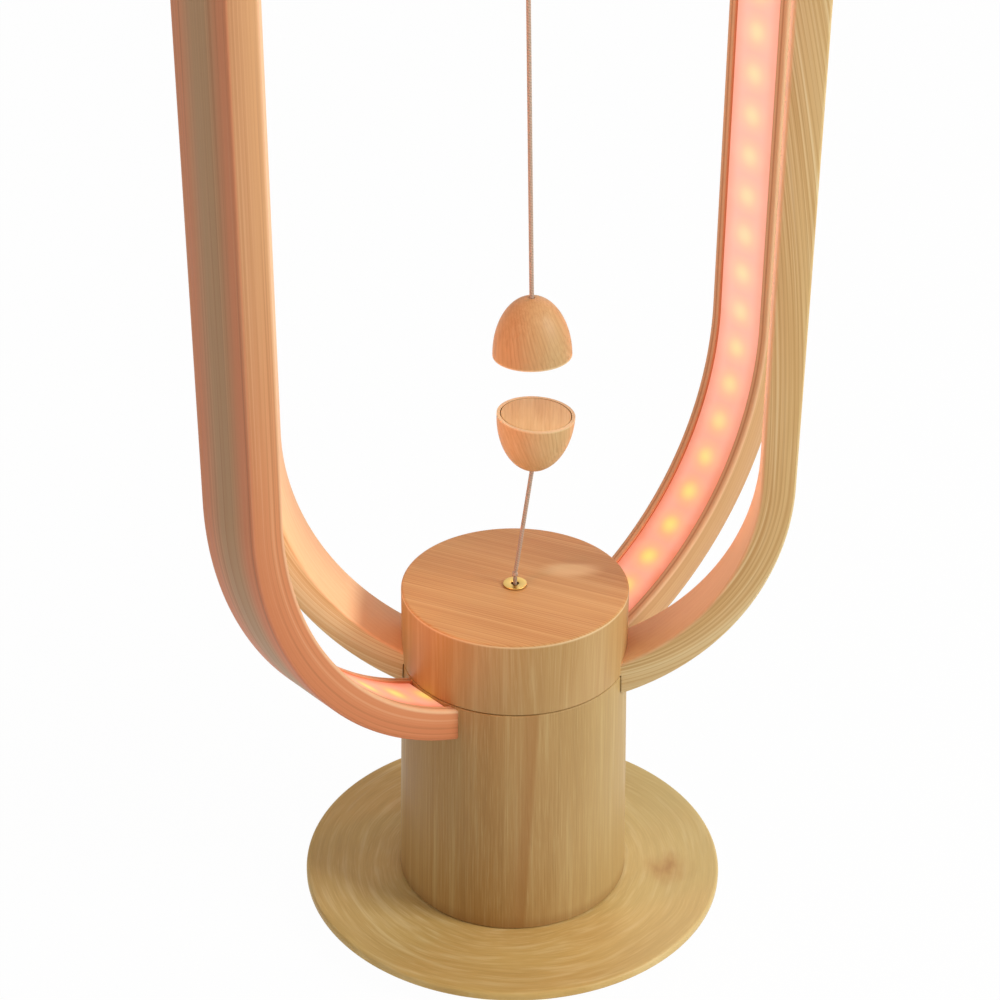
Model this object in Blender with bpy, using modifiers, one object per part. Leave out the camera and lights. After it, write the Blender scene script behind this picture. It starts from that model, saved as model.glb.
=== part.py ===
"""Magnetic balance lamp.

A turned disc carries a column.  The LED hoop is let into the top of the column.  A turret
turns on the column and carries a second, plain hoop, which swings inside the first one.
A wooden half egg hangs on a cord from the top of the plain hoop.  Its twin is tied to a
pull switch in the column, and the magnets in their flat faces hold the pair apart by a
small air gap, which lights the lamp.

Metres, +Z up.  The origin is on the floor, on the column's axis.
"""
import math

import bmesh
import bpy
from mathutils import Matrix, Vector

# Clearances and working values
SEAT_GAP = 0.0003
CUT_OVERRUN = 0.002
MERGE_DISTANCE = 0.00001
DISC_STEPS = 64
ROUND_STEPS = 48
BOB_STEPS = 28
MEDIUM_STEPS = 24
SMALL_STEPS = 12
ARC_STEPS = 28

# Base disc, turned, with a sunk ballast plate and a pad ring below
BASE_RADIUS = 0.0770
BASE_HEIGHT = 0.0090
BASE_UNDERSIDE_Z = 0.0015
RIM_THICKNESS = 0.0030
RIM_RISE = 0.0003
RIM_ROUNDING = 0.0010
DISH_DEPTH = 0.0007
UNDERCUT_WIDTH = 0.0085
PAD_INSET = 0.0105
PAD_WIDTH = 0.0060
PAD_PROUD = 0.0015
BALLAST_MARGIN = 0.0035
BALLAST_THICKNESS = 0.0036

# Column, a turned tube with a closed top
COLUMN_FOOT_RADIUS = 0.0420
COLUMN_TOP_RADIUS = 0.0400
SEAM_Z = 0.1003
BORE_RADIUS = 0.0235
WEB_THICKNESS = 0.0098
EDGE_SOFTENING = 0.0004

# Turret on top of the column
TURRET_HEIGHT = 0.0281
TURRET_EDGE = 0.0010
TURRET_POCKET_DEPTH = 0.0100

# Both hoops, and the air between them
LED_HOOP_WIDTH = 0.0272
SWING_HOOP_WIDTH = 0.0233
HOOP_THICKNESS = 0.0116
HOOP_EDGE = 0.0006
HOOP_AIR = 0.0128
TOP_CENTRE_Z = 0.3612

# LED hoop
LED_HOOP_RADIUS = 0.1188
LED_HOOP_ANGLE = math.radians(42.2)
TENON_DEPTH = 0.0085
CHANNEL_WIDTH = 0.0200
CHANNEL_DEPTH = 0.0060
DIFFUSER_THICKNESS = 0.0015
DIFFUSER_SINK = 0.0005
DIFFUSER_SETBACK = 0.0008
STRIP_WIDTH = 0.0080
STRIP_THICKNESS = 0.0004
STRIP_SETBACK = 0.0102
LED_PITCH = 0.0149
LED_LENGTH = 0.0050
LED_WIDTH = 0.0050
LED_HEIGHT = 0.0014

# Swing hoop, whose outer face dips below the seam at the column's side
SWING_HOOP_ANGLE = math.radians(-4.0)
SWING_DIP = 0.0070
TONGUE_DEPTH = 0.0090

# Pivot between column and turret
PIVOT_RADIUS = 0.0060
PIVOT_BORE_RADIUS = 0.0032
PIVOT_FLANGE_RADIUS = 0.0135
PIVOT_FLANGE_THICKNESS = 0.0025
PIVOT_TAIL = 0.0025
BUSH_WALL = 0.0022
BUSH_FLANGE_RADIUS = 0.0180
BUSH_FLANGE_THICKNESS = 0.0015
WASHER_WIDTH = 0.0050
WASHER_THICKNESS = 0.0010
NUT_ACROSS_CORNERS = 0.0220
NUT_THICKNESS = 0.0050

# Pivot between the hoops at the top
PIVOT_BLOCK_LENGTH = 0.0160
TOP_COLLAR_RADIUS = 0.0060
TOP_PIN_RADIUS = 0.0030
TOP_BUSH_WALL = 0.0017
TOP_BUSH_FLANGE_RADIUS = 0.0075
TOP_BUSH_FLANGE_THICKNESS = 0.0015

# Screws
BASE_SCREW_HEAD_RADIUS = 0.0034
BASE_SCREW_SHANK_RADIUS = 0.0017
BASE_SCREW_HEAD_HEIGHT = 0.0022
BASE_SCREW_LENGTH = 0.0240
HOOP_SCREW_HEAD_RADIUS = 0.0030
HOOP_SCREW_SHANK_RADIUS = 0.0015
HOOP_SCREW_HEAD_HEIGHT = 0.0020
HOOP_SCREW_LENGTH = 0.0180
TONGUE_SCREW_HEAD_RADIUS = 0.0026
TONGUE_SCREW_SHANK_RADIUS = 0.0012
TONGUE_SCREW_HEAD_HEIGHT = 0.0014
TONGUE_SCREW_LENGTH = 0.0150
FLANGE_SCREW_HEAD_RADIUS = 0.0024
FLANGE_SCREW_SHANK_RADIUS = 0.0012
FLANGE_SCREW_HEAD_HEIGHT = 0.0016
FLANGE_SCREW_LENGTH = 0.0110
BASE_SCREW_START = math.radians(-86.0)
DRIVE_RADIUS_SHARE = 0.5
DRIVE_DEPTH_SHARE = 0.5

# Cords and half-egg bobs
CORD_RADIUS = 0.00075
BOB_RADIUS = 0.0133
BOB_HEIGHT = 0.0208
BOB_RIM = 0.0011
BOB_TIP_RADIUS = 0.0018
INLAY_THICKNESS = 0.0015
MAGNET_RADIUS = 0.0090
MAGNET_THICKNESS = 0.0030
BOB_AIR_GAP = 0.0223
UPPER_LEAN = math.radians(1.25)
UPPER_KNOT_RADIUS = 0.0013
THROAT_RADIUS = 0.0011
THROAT_FLARE = 0.0009
THROAT_HEIGHT = 0.0024
LOWER_CORD_RISE = 0.0465
LOWER_BOB_SHIFT = 0.0054
LOWER_BOB_LEAN = math.radians(3.0)
LOWER_KNOT_RADIUS = 0.0013
GUIDE_RADIUS = 0.0030
GUIDE_LIP = 0.0008
GUIDE_LIP_WIDTH = 0.0012
GUIDE_DEPTH = 0.0100

# Pull switch in the column
PULL_STROKE = 0.0020
SWITCH_PLATE_THICKNESS = 0.0030
SWITCH_PLATE_DROP = 0.0100
SWITCH_WIDTH = 0.0220
SWITCH_DEPTH = 0.0160
SWITCH_HEIGHT = 0.0260
SWITCH_WALL = 0.0020
SLIDER_THICKNESS = 0.0040
SLIDER_STEM_RADIUS = 0.0012
SPRING_RADIUS = 0.0030
SPRING_WIRE_RADIUS = 0.0003
SPRING_LENGTH = 0.0110
SPRING_TURNS = 6
SPRING_POINTS_PER_TURN = 10
CONTACT_WIDTH = 0.0050
CONTACT_THICKNESS = 0.0006

# Driver board and power inlet
BOARD_HEIGHT = 0.0260
BOARD_THICKNESS = 0.0016
BOARD_LIFT = 0.0020
CAN_RADIUS_SHARE = 0.16
CAN_HEIGHT_SHARE = 0.24
CHIP_SHARES = (0.22, 0.07, 0.30)
CONNECTOR_SHARES = (0.14, 0.14, 0.26)
CONNECTOR_PLACE_SHARE = 0.62
INLET_Z = 0.0225
INLET_BARREL_RADIUS = 0.0052
INLET_LENGTH = 0.0170
INLET_FLANGE_RADIUS = 0.0072
INLET_FLANGE_THICKNESS = 0.0012
INLET_SOCKET_RADIUS = 0.0031
INLET_SOCKET_DEPTH = 0.0090
INLET_PIN_RADIUS = 0.0010
LEAD_RADIUS = 0.0008
LEAD_OFFSET = 0.0062
LEAD_HOLE_RADIUS = 0.0014
LEAD_POINTS = 18

# The screws' sizes together
BASE_SCREW = {"head": BASE_SCREW_HEAD_RADIUS, "shank": BASE_SCREW_SHANK_RADIUS,
              "rise": BASE_SCREW_HEAD_HEIGHT, "length": BASE_SCREW_LENGTH}
HOOP_SCREW = {"head": HOOP_SCREW_HEAD_RADIUS, "shank": HOOP_SCREW_SHANK_RADIUS,
              "rise": HOOP_SCREW_HEAD_HEIGHT, "length": HOOP_SCREW_LENGTH}
TONGUE_SCREW = {"head": TONGUE_SCREW_HEAD_RADIUS, "shank": TONGUE_SCREW_SHANK_RADIUS,
                "rise": TONGUE_SCREW_HEAD_HEIGHT, "length": TONGUE_SCREW_LENGTH}
FLANGE_SCREW = {"head": FLANGE_SCREW_HEAD_RADIUS, "shank": FLANGE_SCREW_SHANK_RADIUS,
                "rise": FLANGE_SCREW_HEAD_HEIGHT, "length": FLANGE_SCREW_LENGTH}

# Places and radii that follow from the sizes above
PAD_OUTER_RADIUS = BASE_RADIUS - PAD_INSET
BALLAST_RADIUS = PAD_OUTER_RADIUS - PAD_WIDTH - BALLAST_MARGIN
BASE_SCREW_CIRCLE = (BORE_RADIUS + COLUMN_FOOT_RADIUS) / 2
FLANGE_SCREW_CIRCLE = (PIVOT_RADIUS + PIVOT_FLANGE_RADIUS) / 2
TURRET_POCKET_RADIUS = PIVOT_FLANGE_RADIUS + SEAT_GAP
COLUMN_FOOT_Z = BASE_HEIGHT + SEAT_GAP
BORE_TOP_Z = SEAM_Z - WEB_THICKNESS
TURRET_Z = SEAM_Z + SEAT_GAP
TURRET_TOP_Z = TURRET_Z + TURRET_HEIGHT
TENON_START = COLUMN_TOP_RADIUS - TENON_DEPTH
TONGUE_START = COLUMN_TOP_RADIUS - TONGUE_DEPTH
HOOP_SCREW_PLACE = (TENON_START + COLUMN_TOP_RADIUS) / 2
TONGUE_SCREW_PLACE = (TONGUE_START + COLUMN_TOP_RADIUS) / 2
DIFFUSER_START = COLUMN_TOP_RADIUS + DIFFUSER_SETBACK
STRIP_START = COLUMN_TOP_RADIUS + STRIP_SETBACK
LED_HOOP_INNER = LED_HOOP_RADIUS - HOOP_THICKNESS
LED_LOWER_CENTRE_Z = SEAM_Z + math.sqrt(LED_HOOP_INNER ** 2 - COLUMN_TOP_RADIUS ** 2)
CHANNEL_RADIUS = LED_HOOP_INNER + CHANNEL_DEPTH
SWING_HOOP_RADIUS = LED_HOOP_INNER - HOOP_AIR
SWING_HOOP_INNER = SWING_HOOP_RADIUS - HOOP_THICKNESS
SWING_LOWER_CENTRE_Z = SEAM_Z - SWING_DIP + math.sqrt(SWING_HOOP_RADIUS ** 2 - COLUMN_TOP_RADIUS ** 2)
SWING_TOP_Z = TOP_CENTRE_Z + SWING_HOOP_RADIUS
CORD_EXIT_Z = TOP_CENTRE_Z + SWING_HOOP_INNER
UPPER_HINGE_Z = CORD_EXIT_Z + THROAT_HEIGHT
TOP_BUSH_DEPTH = HOOP_THICKNESS - THROAT_HEIGHT - 2 * UPPER_KNOT_RADIUS - 2 * SEAT_GAP
LOWER_KNOT_Z = TURRET_TOP_Z + GUIDE_LIP + PULL_STROKE + LOWER_KNOT_RADIUS + SEAT_GAP
LOWER_BOB_TIP_Z = TURRET_TOP_Z + LOWER_CORD_RISE
UPPER_BOB_TIP_Z = LOWER_BOB_TIP_Z + BOB_AIR_GAP + 2 * BOB_HEIGHT
SWITCH_TOP_Z = BORE_TOP_Z - WASHER_THICKNESS - NUT_THICKNESS - SWITCH_PLATE_DROP


# Collections, materials and empties
def clear_scene():
    for old in list(bpy.data.objects):
        bpy.data.objects.remove(old, do_unlink=True)


def new_collection(name):
    collection = bpy.data.collections.new(name)
    bpy.context.scene.collection.children.link(collection)
    return collection


def new_material(name, color, roughness, metallic=0.0):
    material = bpy.data.materials.new(name)
    material.use_nodes = True
    shader = material.node_tree.nodes["Principled BSDF"]
    shader.inputs["Base Color"].default_value = (*color, 1.0)
    shader.inputs["Roughness"].default_value = roughness
    shader.inputs["Metallic"].default_value = metallic
    return material


clear_scene()
LAMP = new_collection("magnetic_balance_lamp")
CUTTERS = new_collection("cutters")

MAPLE = new_material("pale_maple", (0.74, 0.53, 0.29), 0.50)
DIFFUSER_ACRYLIC = new_material("opal_acrylic", (0.96, 0.62, 0.52), 0.45)
STRIP_TAPE = new_material("white_flex_tape", (0.90, 0.88, 0.84), 0.50)
STEEL = new_material("zinced_steel", (0.62, 0.62, 0.60), 0.35, 1.0)
BRASS = new_material("brass", (0.80, 0.62, 0.30), 0.30, 1.0)
MAGNET_NICKEL = new_material("nickel_plate", (0.72, 0.71, 0.69), 0.20, 1.0)
BLACK_PLASTIC = new_material("black_plastic", (0.03, 0.03, 0.03), 0.45)
BOARD_GREEN = new_material("board_laminate", (0.05, 0.22, 0.10), 0.40)
PAD_RUBBER = new_material("pad_rubber", (0.05, 0.05, 0.05), 0.80)
CORD_COTTON = new_material("waxed_cord", (0.60, 0.52, 0.44), 0.85)


def new_empty(name, location, rotation=(0.0, 0.0, 0.0), parent=None):
    empty = bpy.data.objects.new(name, None)
    LAMP.objects.link(empty)
    empty.empty_display_size = BOB_RADIUS
    empty.location = location
    empty.rotation_euler = rotation
    empty.parent = parent
    return empty


def add_object(name, data, material, parent=None, location=(0.0, 0.0, 0.0), rotation=(0.0, 0.0, 0.0)):
    obj = bpy.data.objects.new(name, data)
    (LAMP if material else CUTTERS).objects.link(obj)
    obj.location = location
    obj.rotation_euler = rotation
    obj.parent = parent
    if material:
        data.materials.append(material)
    else:
        obj.hide_render = True
        obj.display_type = "WIRE"
    return obj


# Modelling helpers
def turned(name, profile, material, steps=ROUND_STEPS, closed=False, **place):
    """A lathe piece: (radius, height) points, down the outer side, spun about Z."""
    mesh = bpy.data.meshes.new(name)
    points = [(radius, 0.0, height) for radius, height in profile]
    edges = [(i, i + 1) for i in range(len(points) - 1)]
    if closed:
        edges.append((len(points) - 1, 0))
    mesh.from_pydata(points, edges, [])
    obj = add_object(name, mesh, material, **place)
    screw = obj.modifiers.new("turn", "SCREW")
    screw.axis = "Z"
    screw.angle = math.tau
    screw.steps = steps
    screw.render_steps = steps
    screw.use_merge_vertices = True
    screw.merge_threshold = MERGE_DISTANCE
    screw.use_smooth_shade = True
    return obj


def cylinder_profile(radius, low, high):
    return [(0.0, high), (radius, high), (radius, low), (0.0, low)]


def ring_profile(outer, inner, low, high):
    return [(outer, high), (outer, low), (inner, low), (inner, high)]


def box(name, size, centre, material, **place):
    mesh = bpy.data.meshes.new(name)
    solid = bmesh.new()
    bmesh.ops.create_cube(solid, size=1.0)
    bmesh.ops.scale(solid, vec=size, verts=solid.verts)
    bmesh.ops.translate(solid, vec=centre, verts=solid.verts)
    solid.to_mesh(mesh)
    solid.free()
    return add_object(name, mesh, material, **place)


def prism(name, corner_radius, sides, low, high, material, **place):
    mesh = bpy.data.meshes.new(name)
    solid = bmesh.new()
    bmesh.ops.create_cone(solid, cap_ends=True, segments=sides, radius1=corner_radius,
                          radius2=corner_radius, depth=high - low)
    bmesh.ops.translate(solid, vec=(0.0, 0.0, (low + high) / 2), verts=solid.verts)
    solid.to_mesh(mesh)
    solid.free()
    return add_object(name, mesh, material, **place)


def combine(obj, other, operation):
    step = obj.modifiers.new(operation.lower(), "BOOLEAN")
    step.operation = operation
    step.solver = "EXACT"
    step.object = other


def cut(obj, cutter):
    combine(obj, cutter, "DIFFERENCE")


def drill(obj, name, radius, low, high, steps=SMALL_STEPS, **place):
    """A round hole along the local Z of its place."""
    hole = turned(name + "_hole", cylinder_profile(radius, low, high), None, steps=steps, **place)
    cut(obj, hole)
    return hole


def curve_data(name, points, dimensions, cyclic):
    data = bpy.data.curves.new(name, "CURVE")
    data.dimensions = dimensions
    spline = data.splines.new("POLY")
    spline.points.add(len(points) - 1)
    for target, point in zip(spline.points, points):
        target.co = (*point, 1.0) if len(point) == 3 else (*point, 0.0, 1.0)
    spline.use_cyclic_u = cyclic
    return data


def as_mesh(curve, name, material):
    """The curve object as a closed mesh in the same place, its caps welded on."""
    bpy.context.view_layer.update()
    evaluated = curve.evaluated_get(bpy.context.evaluated_depsgraph_get())
    mesh = bpy.data.meshes.new_from_object(evaluated)
    solid = bmesh.new()
    solid.from_mesh(mesh)
    bmesh.ops.remove_doubles(solid, verts=solid.verts, dist=MERGE_DISTANCE)
    bmesh.ops.recalc_face_normals(solid, faces=solid.faces)
    solid.to_mesh(mesh)
    solid.free()
    mesh.materials.clear()
    obj = add_object(name, mesh, material)
    obj.matrix_world = curve.matrix_world.copy()
    bpy.data.objects.remove(curve, do_unlink=True)
    return obj


def round_rod(name, points, radius, material, resolution=2, parent=None):
    """A cord, lead or wire along a list of points, in the parent's own axes."""
    data = curve_data(name, points, "3D", False)
    data.bevel_depth = radius
    data.bevel_resolution = resolution
    data.use_fill_caps = True
    rod = as_mesh(add_object(name + "_path", data, material), name, material)
    rod.parent = parent
    return rod


def smooth_route(route, count):
    """Points at even steps on a Catmull-Rom curve through the route."""
    ends = [2 * route[0] - route[1], *route, 2 * route[-1] - route[-2]]
    points = []
    for step in range(count):
        place = step / (count - 1) * (len(route) - 1)
        first = min(int(place), len(route) - 2)
        t = place - first
        a, b, c, d = ends[first:first + 4]
        points.append(((2 * b) + (c - a) * t + (2 * a - 5 * b + 4 * c - d) * t ** 2
                       + (3 * b - a - 3 * c + d) * t ** 3) / 2)
    return points


# The hoop's line: quarter arcs at the foot and a half circle at the top, joined by straights
def arm_line(radius, lower_z, foot_place, top_place, steps=ARC_STEPS):
    """(across, up) points of the right-hand arm, from its foot to its top."""
    quarter = math.pi / 2
    turn = math.pi / steps
    foot_angle = math.acos(foot_place / radius)
    top_angle = math.acos(top_place / radius)
    angles = [foot_angle] + [turn * k for k in range(steps // 2, -1, -1) if turn * k < foot_angle - turn / 3]
    line = [(radius * math.cos(a), lower_z - radius * math.sin(a)) for a in angles]
    angles = [turn * k for k in range(steps // 2 + 1) if turn * k < top_angle - turn / 3]
    angles.append(min(top_angle, quarter))
    return line + [(radius * math.cos(a), TOP_CENTRE_Z + radius * math.sin(a)) for a in angles]


def hoop_line(radius, lower_z, foot_place):
    right = arm_line(radius, lower_z, foot_place, 0.0)
    left = [(-across, up) for across, up in right]
    return right + left[-2::-1]


def stood_up(angle):
    """Turns a shape drawn in XY so that Y is up, then to its angle about the column."""
    return (math.pi / 2, 0.0, angle)


def swept(name, line, section, angle, material):
    """A section (outwards, sideways) carried along a line (across, up)."""
    profile = add_object(name + "_section", curve_data(name + "_section", section, "2D", True), None)
    data = curve_data(name, line, "3D", False)
    data.twist_mode = "Z_UP"
    data.bevel_mode = "OBJECT"
    data.bevel_object = profile
    data.use_fill_caps = True
    path = add_object(name + "_path", data, material, rotation=stood_up(angle))
    piece = as_mesh(path, name, material)
    bpy.data.objects.remove(profile, do_unlink=True)
    return piece


def bar_section(width, thickness, edge):
    """A rectangular bar with chamfered edges, centred on its line."""
    side = width / 2
    face = thickness / 2
    return [(face, side - edge), (face - edge, side), (-face + edge, side), (-face, side - edge),
            (-face, -side + edge), (-face + edge, -side), (face - edge, -side), (face, -side + edge)]


def channel_section():
    """The LED hoop's bar with the channel for the strip in its inner face."""
    side = LED_HOOP_WIDTH / 2
    face = HOOP_THICKNESS / 2
    lip = CHANNEL_WIDTH / 2
    floor = -face + CHANNEL_DEPTH
    return [(face, side - HOOP_EDGE), (face - HOOP_EDGE, side), (-face + HOOP_EDGE, side),
            (-face, side - HOOP_EDGE), (-face, lip), (floor, lip), (floor, -lip), (-face, -lip),
            (-face, -side + HOOP_EDGE), (-face + HOOP_EDGE, -side), (face - HOOP_EDGE, -side),
            (face, -side + HOOP_EDGE)]


def on_plane(angle, across, sideways, up):
    """A point given along, square to and above the plane of a hoop."""
    return Vector((across * math.cos(angle) - sideways * math.sin(angle),
                   across * math.sin(angle) + sideways * math.cos(angle), up))


def height_on_arc(radius, centre_z, across):
    return centre_z - math.sqrt(radius ** 2 - across ** 2)


# Screws, all turned, with a round drive recess in the head
def screw_profile(size):
    drive = size["head"] * DRIVE_RADIUS_SHARE
    sink = size["rise"] * DRIVE_DEPTH_SHARE
    return [(0.0, size["rise"] - sink), (drive, size["rise"] - sink), (drive, size["rise"]),
            (size["head"], size["rise"]), (size["head"], 0.0), (size["shank"], 0.0),
            (size["shank"], size["rise"] - size["length"] + size["shank"]),
            (0.0, size["rise"] - size["length"])]


def screw(name, size, location, upside_down=False, parent=None):
    """The seat of the head is at the location; the shank runs down from it."""
    turn = (math.pi, 0.0, 0.0) if upside_down else (0.0, 0.0, 0.0)
    return turned(name, screw_profile(size), STEEL, steps=SMALL_STEPS, location=location,
                  rotation=turn, parent=parent)


def screw_hole(obj, name, size, location, upside_down=False, head_sink=0.0):
    """A clearance hole for the shank, and for the head where it is sunk."""
    turn = (math.pi, 0.0, 0.0) if upside_down else (0.0, 0.0, 0.0)
    shank = size["shank"] + SEAT_GAP
    low = size["rise"] - size["length"] - SEAT_GAP
    if not head_sink:
        return drill(obj, name, shank, low, CUT_OVERRUN, location=location, rotation=turn)
    head = size["head"] + SEAT_GAP
    profile = [(0.0, head_sink), (head, head_sink), (head, -SEAT_GAP), (shank, -SEAT_GAP),
               (shank, low), (0.0, low)]
    hole = turned(name + "_hole", profile, None, steps=SMALL_STEPS, location=location, rotation=turn)
    cut(obj, hole)
    return hole


def circle_places(count, radius, start=0.0):
    angles = [start + math.tau * k / count for k in range(count)]
    return [(radius * math.cos(a), radius * math.sin(a)) for a in angles]


# Base disc: a shallow saucer with a thin rim, undercut below
def make_base_disc():
    rim_top = BASE_HEIGHT + RIM_RISE
    rim_low = rim_top - RIM_THICKNESS
    seat = COLUMN_FOOT_RADIUS + RIM_ROUNDING
    flat_end = BASE_RADIUS - RIM_ROUNDING
    dish = [(seat + (flat_end - seat) * share,
             BASE_HEIGHT + RIM_RISE * share - DISH_DEPTH * math.sin(math.pi * share))
            for share in (k / 4 for k in range(5))]
    bead = [(flat_end + RIM_ROUNDING * math.sin(a), rim_top - RIM_ROUNDING + RIM_ROUNDING * math.cos(a))
            for a in (math.pi / 4, math.pi / 2)]
    undercut = BASE_RADIUS - UNDERCUT_WIDTH
    recess = BALLAST_RADIUS + SEAT_GAP
    ceiling = BASE_UNDERSIDE_Z + BALLAST_THICKNESS + 2 * SEAT_GAP
    profile = [(0.0, BASE_HEIGHT), *dish, *bead, (BASE_RADIUS, rim_low + RIM_ROUNDING),
               (flat_end, rim_low), (undercut, BASE_UNDERSIDE_Z), (recess, BASE_UNDERSIDE_Z),
               (recess, ceiling), (0.0, ceiling)]
    return turned("base_disc", profile, MAPLE, steps=DISC_STEPS)


base_disc = make_base_disc()

# Ballast plate, a steel disc let in flush with the underside
ballast_z = BASE_UNDERSIDE_Z + SEAT_GAP
ballast_top_z = ballast_z + BALLAST_THICKNESS
ballast_plate = turned("ballast_plate", cylinder_profile(BALLAST_RADIUS, ballast_z, ballast_top_z), STEEL)

# Pad ring, stuck under the wood outside the ballast plate
turned("foot_pad", ring_profile(PAD_OUTER_RADIUS, PAD_OUTER_RADIUS - PAD_WIDTH, BASE_UNDERSIDE_Z - PAD_PROUD,
                                BASE_UNDERSIDE_Z - SEAT_GAP), PAD_RUBBER, closed=True)


# Column: foot, slight taper, closed top with the pivot hole
def column_radius(height):
    share = (height - COLUMN_FOOT_Z) / (SEAM_Z - COLUMN_FOOT_Z)
    return COLUMN_FOOT_RADIUS + (COLUMN_TOP_RADIUS - COLUMN_FOOT_RADIUS) * share


def make_column():
    hole = PIVOT_RADIUS + SEAT_GAP + BUSH_WALL + SEAT_GAP
    counterbore = BUSH_FLANGE_RADIUS + SEAT_GAP
    seat = SEAM_Z - BUSH_FLANGE_THICKNESS - SEAT_GAP
    profile = [(COLUMN_TOP_RADIUS - EDGE_SOFTENING, SEAM_Z), (COLUMN_TOP_RADIUS, SEAM_Z - EDGE_SOFTENING),
               (COLUMN_FOOT_RADIUS, COLUMN_FOOT_Z), (BORE_RADIUS, COLUMN_FOOT_Z), (BORE_RADIUS, BORE_TOP_Z),
               (hole, BORE_TOP_Z), (hole, seat), (counterbore, seat), (counterbore, SEAM_Z)]
    return turned("column_body", profile, MAPLE, closed=True)


column_body = make_column()

# Three screws from below hold ballast, disc and column together
for number, (x, y) in enumerate(circle_places(3, BASE_SCREW_CIRCLE, BASE_SCREW_START), 1):
    head_seat = ballast_z + BASE_SCREW["rise"] + SEAT_GAP
    place = (x, y, head_seat)
    name = f"base_screw_{number}"
    screw(name, BASE_SCREW, place, upside_down=True)
    screw_hole(ballast_plate, name + "_ballast", BASE_SCREW, place, True, head_seat - ballast_z + CUT_OVERRUN)
    screw_hole(base_disc, name + "_disc", BASE_SCREW, place, True)
    screw_hole(column_body, name + "_column", BASE_SCREW, place, True)


# LED hoop: one bent bar with a channel, its ends let into notches in the column's top
led_mid_radius = LED_HOOP_RADIUS - HOOP_THICKNESS / 2
led_hoop = swept("led_hoop", hoop_line(led_mid_radius, LED_LOWER_CENTRE_Z, TENON_START),
                 channel_section(), LED_HOOP_ANGLE, MAPLE)


def make_hoop_notch(name, width, mid_radius, lower_z, foot_place, extra_in, angle, side):
    """The room for one end of a hoop, with its clearance, running on past the column."""
    reach = max(COLUMN_FOOT_RADIUS, COLUMN_TOP_RADIUS) + CUT_OVERRUN
    grown = mid_radius - extra_in / 2
    foot = math.acos((foot_place - SEAT_GAP) / mid_radius)
    end = math.acos(reach / (mid_radius - extra_in - HOOP_THICKNESS / 2 - SEAT_GAP))
    steps = ARC_STEPS // 8
    angles = [foot + (end - foot) * k / steps for k in range(steps + 1)]
    line = [(side * grown * math.cos(a), lower_z - grown * math.sin(a)) for a in angles]
    section = bar_section(width + 2 * SEAT_GAP, HOOP_THICKNESS + 2 * SEAT_GAP + extra_in, HOOP_EDGE)
    return swept(name, line, section, angle, None)


# The notch is open at the top, so the end drops in before the turret goes on
for side, label in ((1, "right"), (-1, "left")):
    open_top = HOOP_THICKNESS / 2
    cut(column_body, make_hoop_notch(f"led_notch_{label}", LED_HOOP_WIDTH, led_mid_radius, LED_LOWER_CENTRE_Z,
                                     TENON_START, open_top, LED_HOOP_ANGLE, side))

# A screw in the channel holds each end down
for number, side in ((1, 1), (2, -1)):
    seat_z = height_on_arc(CHANNEL_RADIUS, LED_LOWER_CENTRE_Z, HOOP_SCREW_PLACE - HOOP_SCREW["head"])
    place = on_plane(LED_HOOP_ANGLE, side * HOOP_SCREW_PLACE, 0.0, seat_z)
    name = f"led_hoop_screw_{number}"
    screw(name, HOOP_SCREW, place)
    screw_hole(led_hoop, name + "_hoop", HOOP_SCREW, place, head_sink=HOOP_SCREW["rise"] + CUT_OVERRUN)
    screw_hole(column_body, name + "_column", HOOP_SCREW, place)


# LED strips, flexible tape with raised chips, one up each arm
def walk(line, distance):
    """The point at a distance along a line, and the direction there."""
    for a, b in zip(line, line[1:]):
        length = math.dist(a, b)
        direction = ((b[0] - a[0]) / length, (b[1] - a[1]) / length)
        if distance <= length:
            return (a[0] + direction[0] * distance, a[1] + direction[1] * distance), direction
        distance -= length
    return line[-1], direction


def make_chips(name, line, angle):
    """All the chips of one strip, as a form to add to the tape."""
    solid = bmesh.new()
    count = int(sum(math.dist(a, b) for a, b in zip(line, line[1:])) / LED_PITCH)
    for chip in range(count):
        (across, up), (dx, dy) = walk(line, LED_PITCH * (chip + 1 / 2))
        cube = bmesh.ops.create_cube(solid, size=1.0)["verts"]
        bmesh.ops.scale(solid, vec=(LED_LENGTH, LED_HEIGHT, LED_WIDTH), verts=cube)
        bmesh.ops.translate(solid, vec=(0.0, LED_HEIGHT / 2, 0.0), verts=cube)
        bmesh.ops.rotate(solid, matrix=Matrix.Rotation(math.atan2(dy, dx), 3, "Z"), verts=cube)
        bmesh.ops.translate(solid, vec=(across, up, 0.0), verts=cube)
    mesh = bpy.data.meshes.new(name)
    solid.to_mesh(mesh)
    solid.free()
    return add_object(name, mesh, None, rotation=stood_up(angle))


strip_line = arm_line(CHANNEL_RADIUS - SEAT_GAP - STRIP_THICKNESS / 2, LED_LOWER_CENTRE_Z, STRIP_START,
                      PIVOT_BLOCK_LENGTH / 2 + 2 * SEAT_GAP)
for number, angle in ((1, LED_HOOP_ANGLE), (2, LED_HOOP_ANGLE + math.pi)):
    tape = swept(f"led_strip_{number}", strip_line, [(STRIP_THICKNESS / 2, STRIP_WIDTH / 2),
                 (-STRIP_THICKNESS / 2, STRIP_WIDTH / 2), (-STRIP_THICKNESS / 2, -STRIP_WIDTH / 2),
                 (STRIP_THICKNESS / 2, -STRIP_WIDTH / 2)], angle, STRIP_TAPE)
    combine(tape, make_chips(f"led_chips_{number}", strip_line, angle), "UNION")


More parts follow.
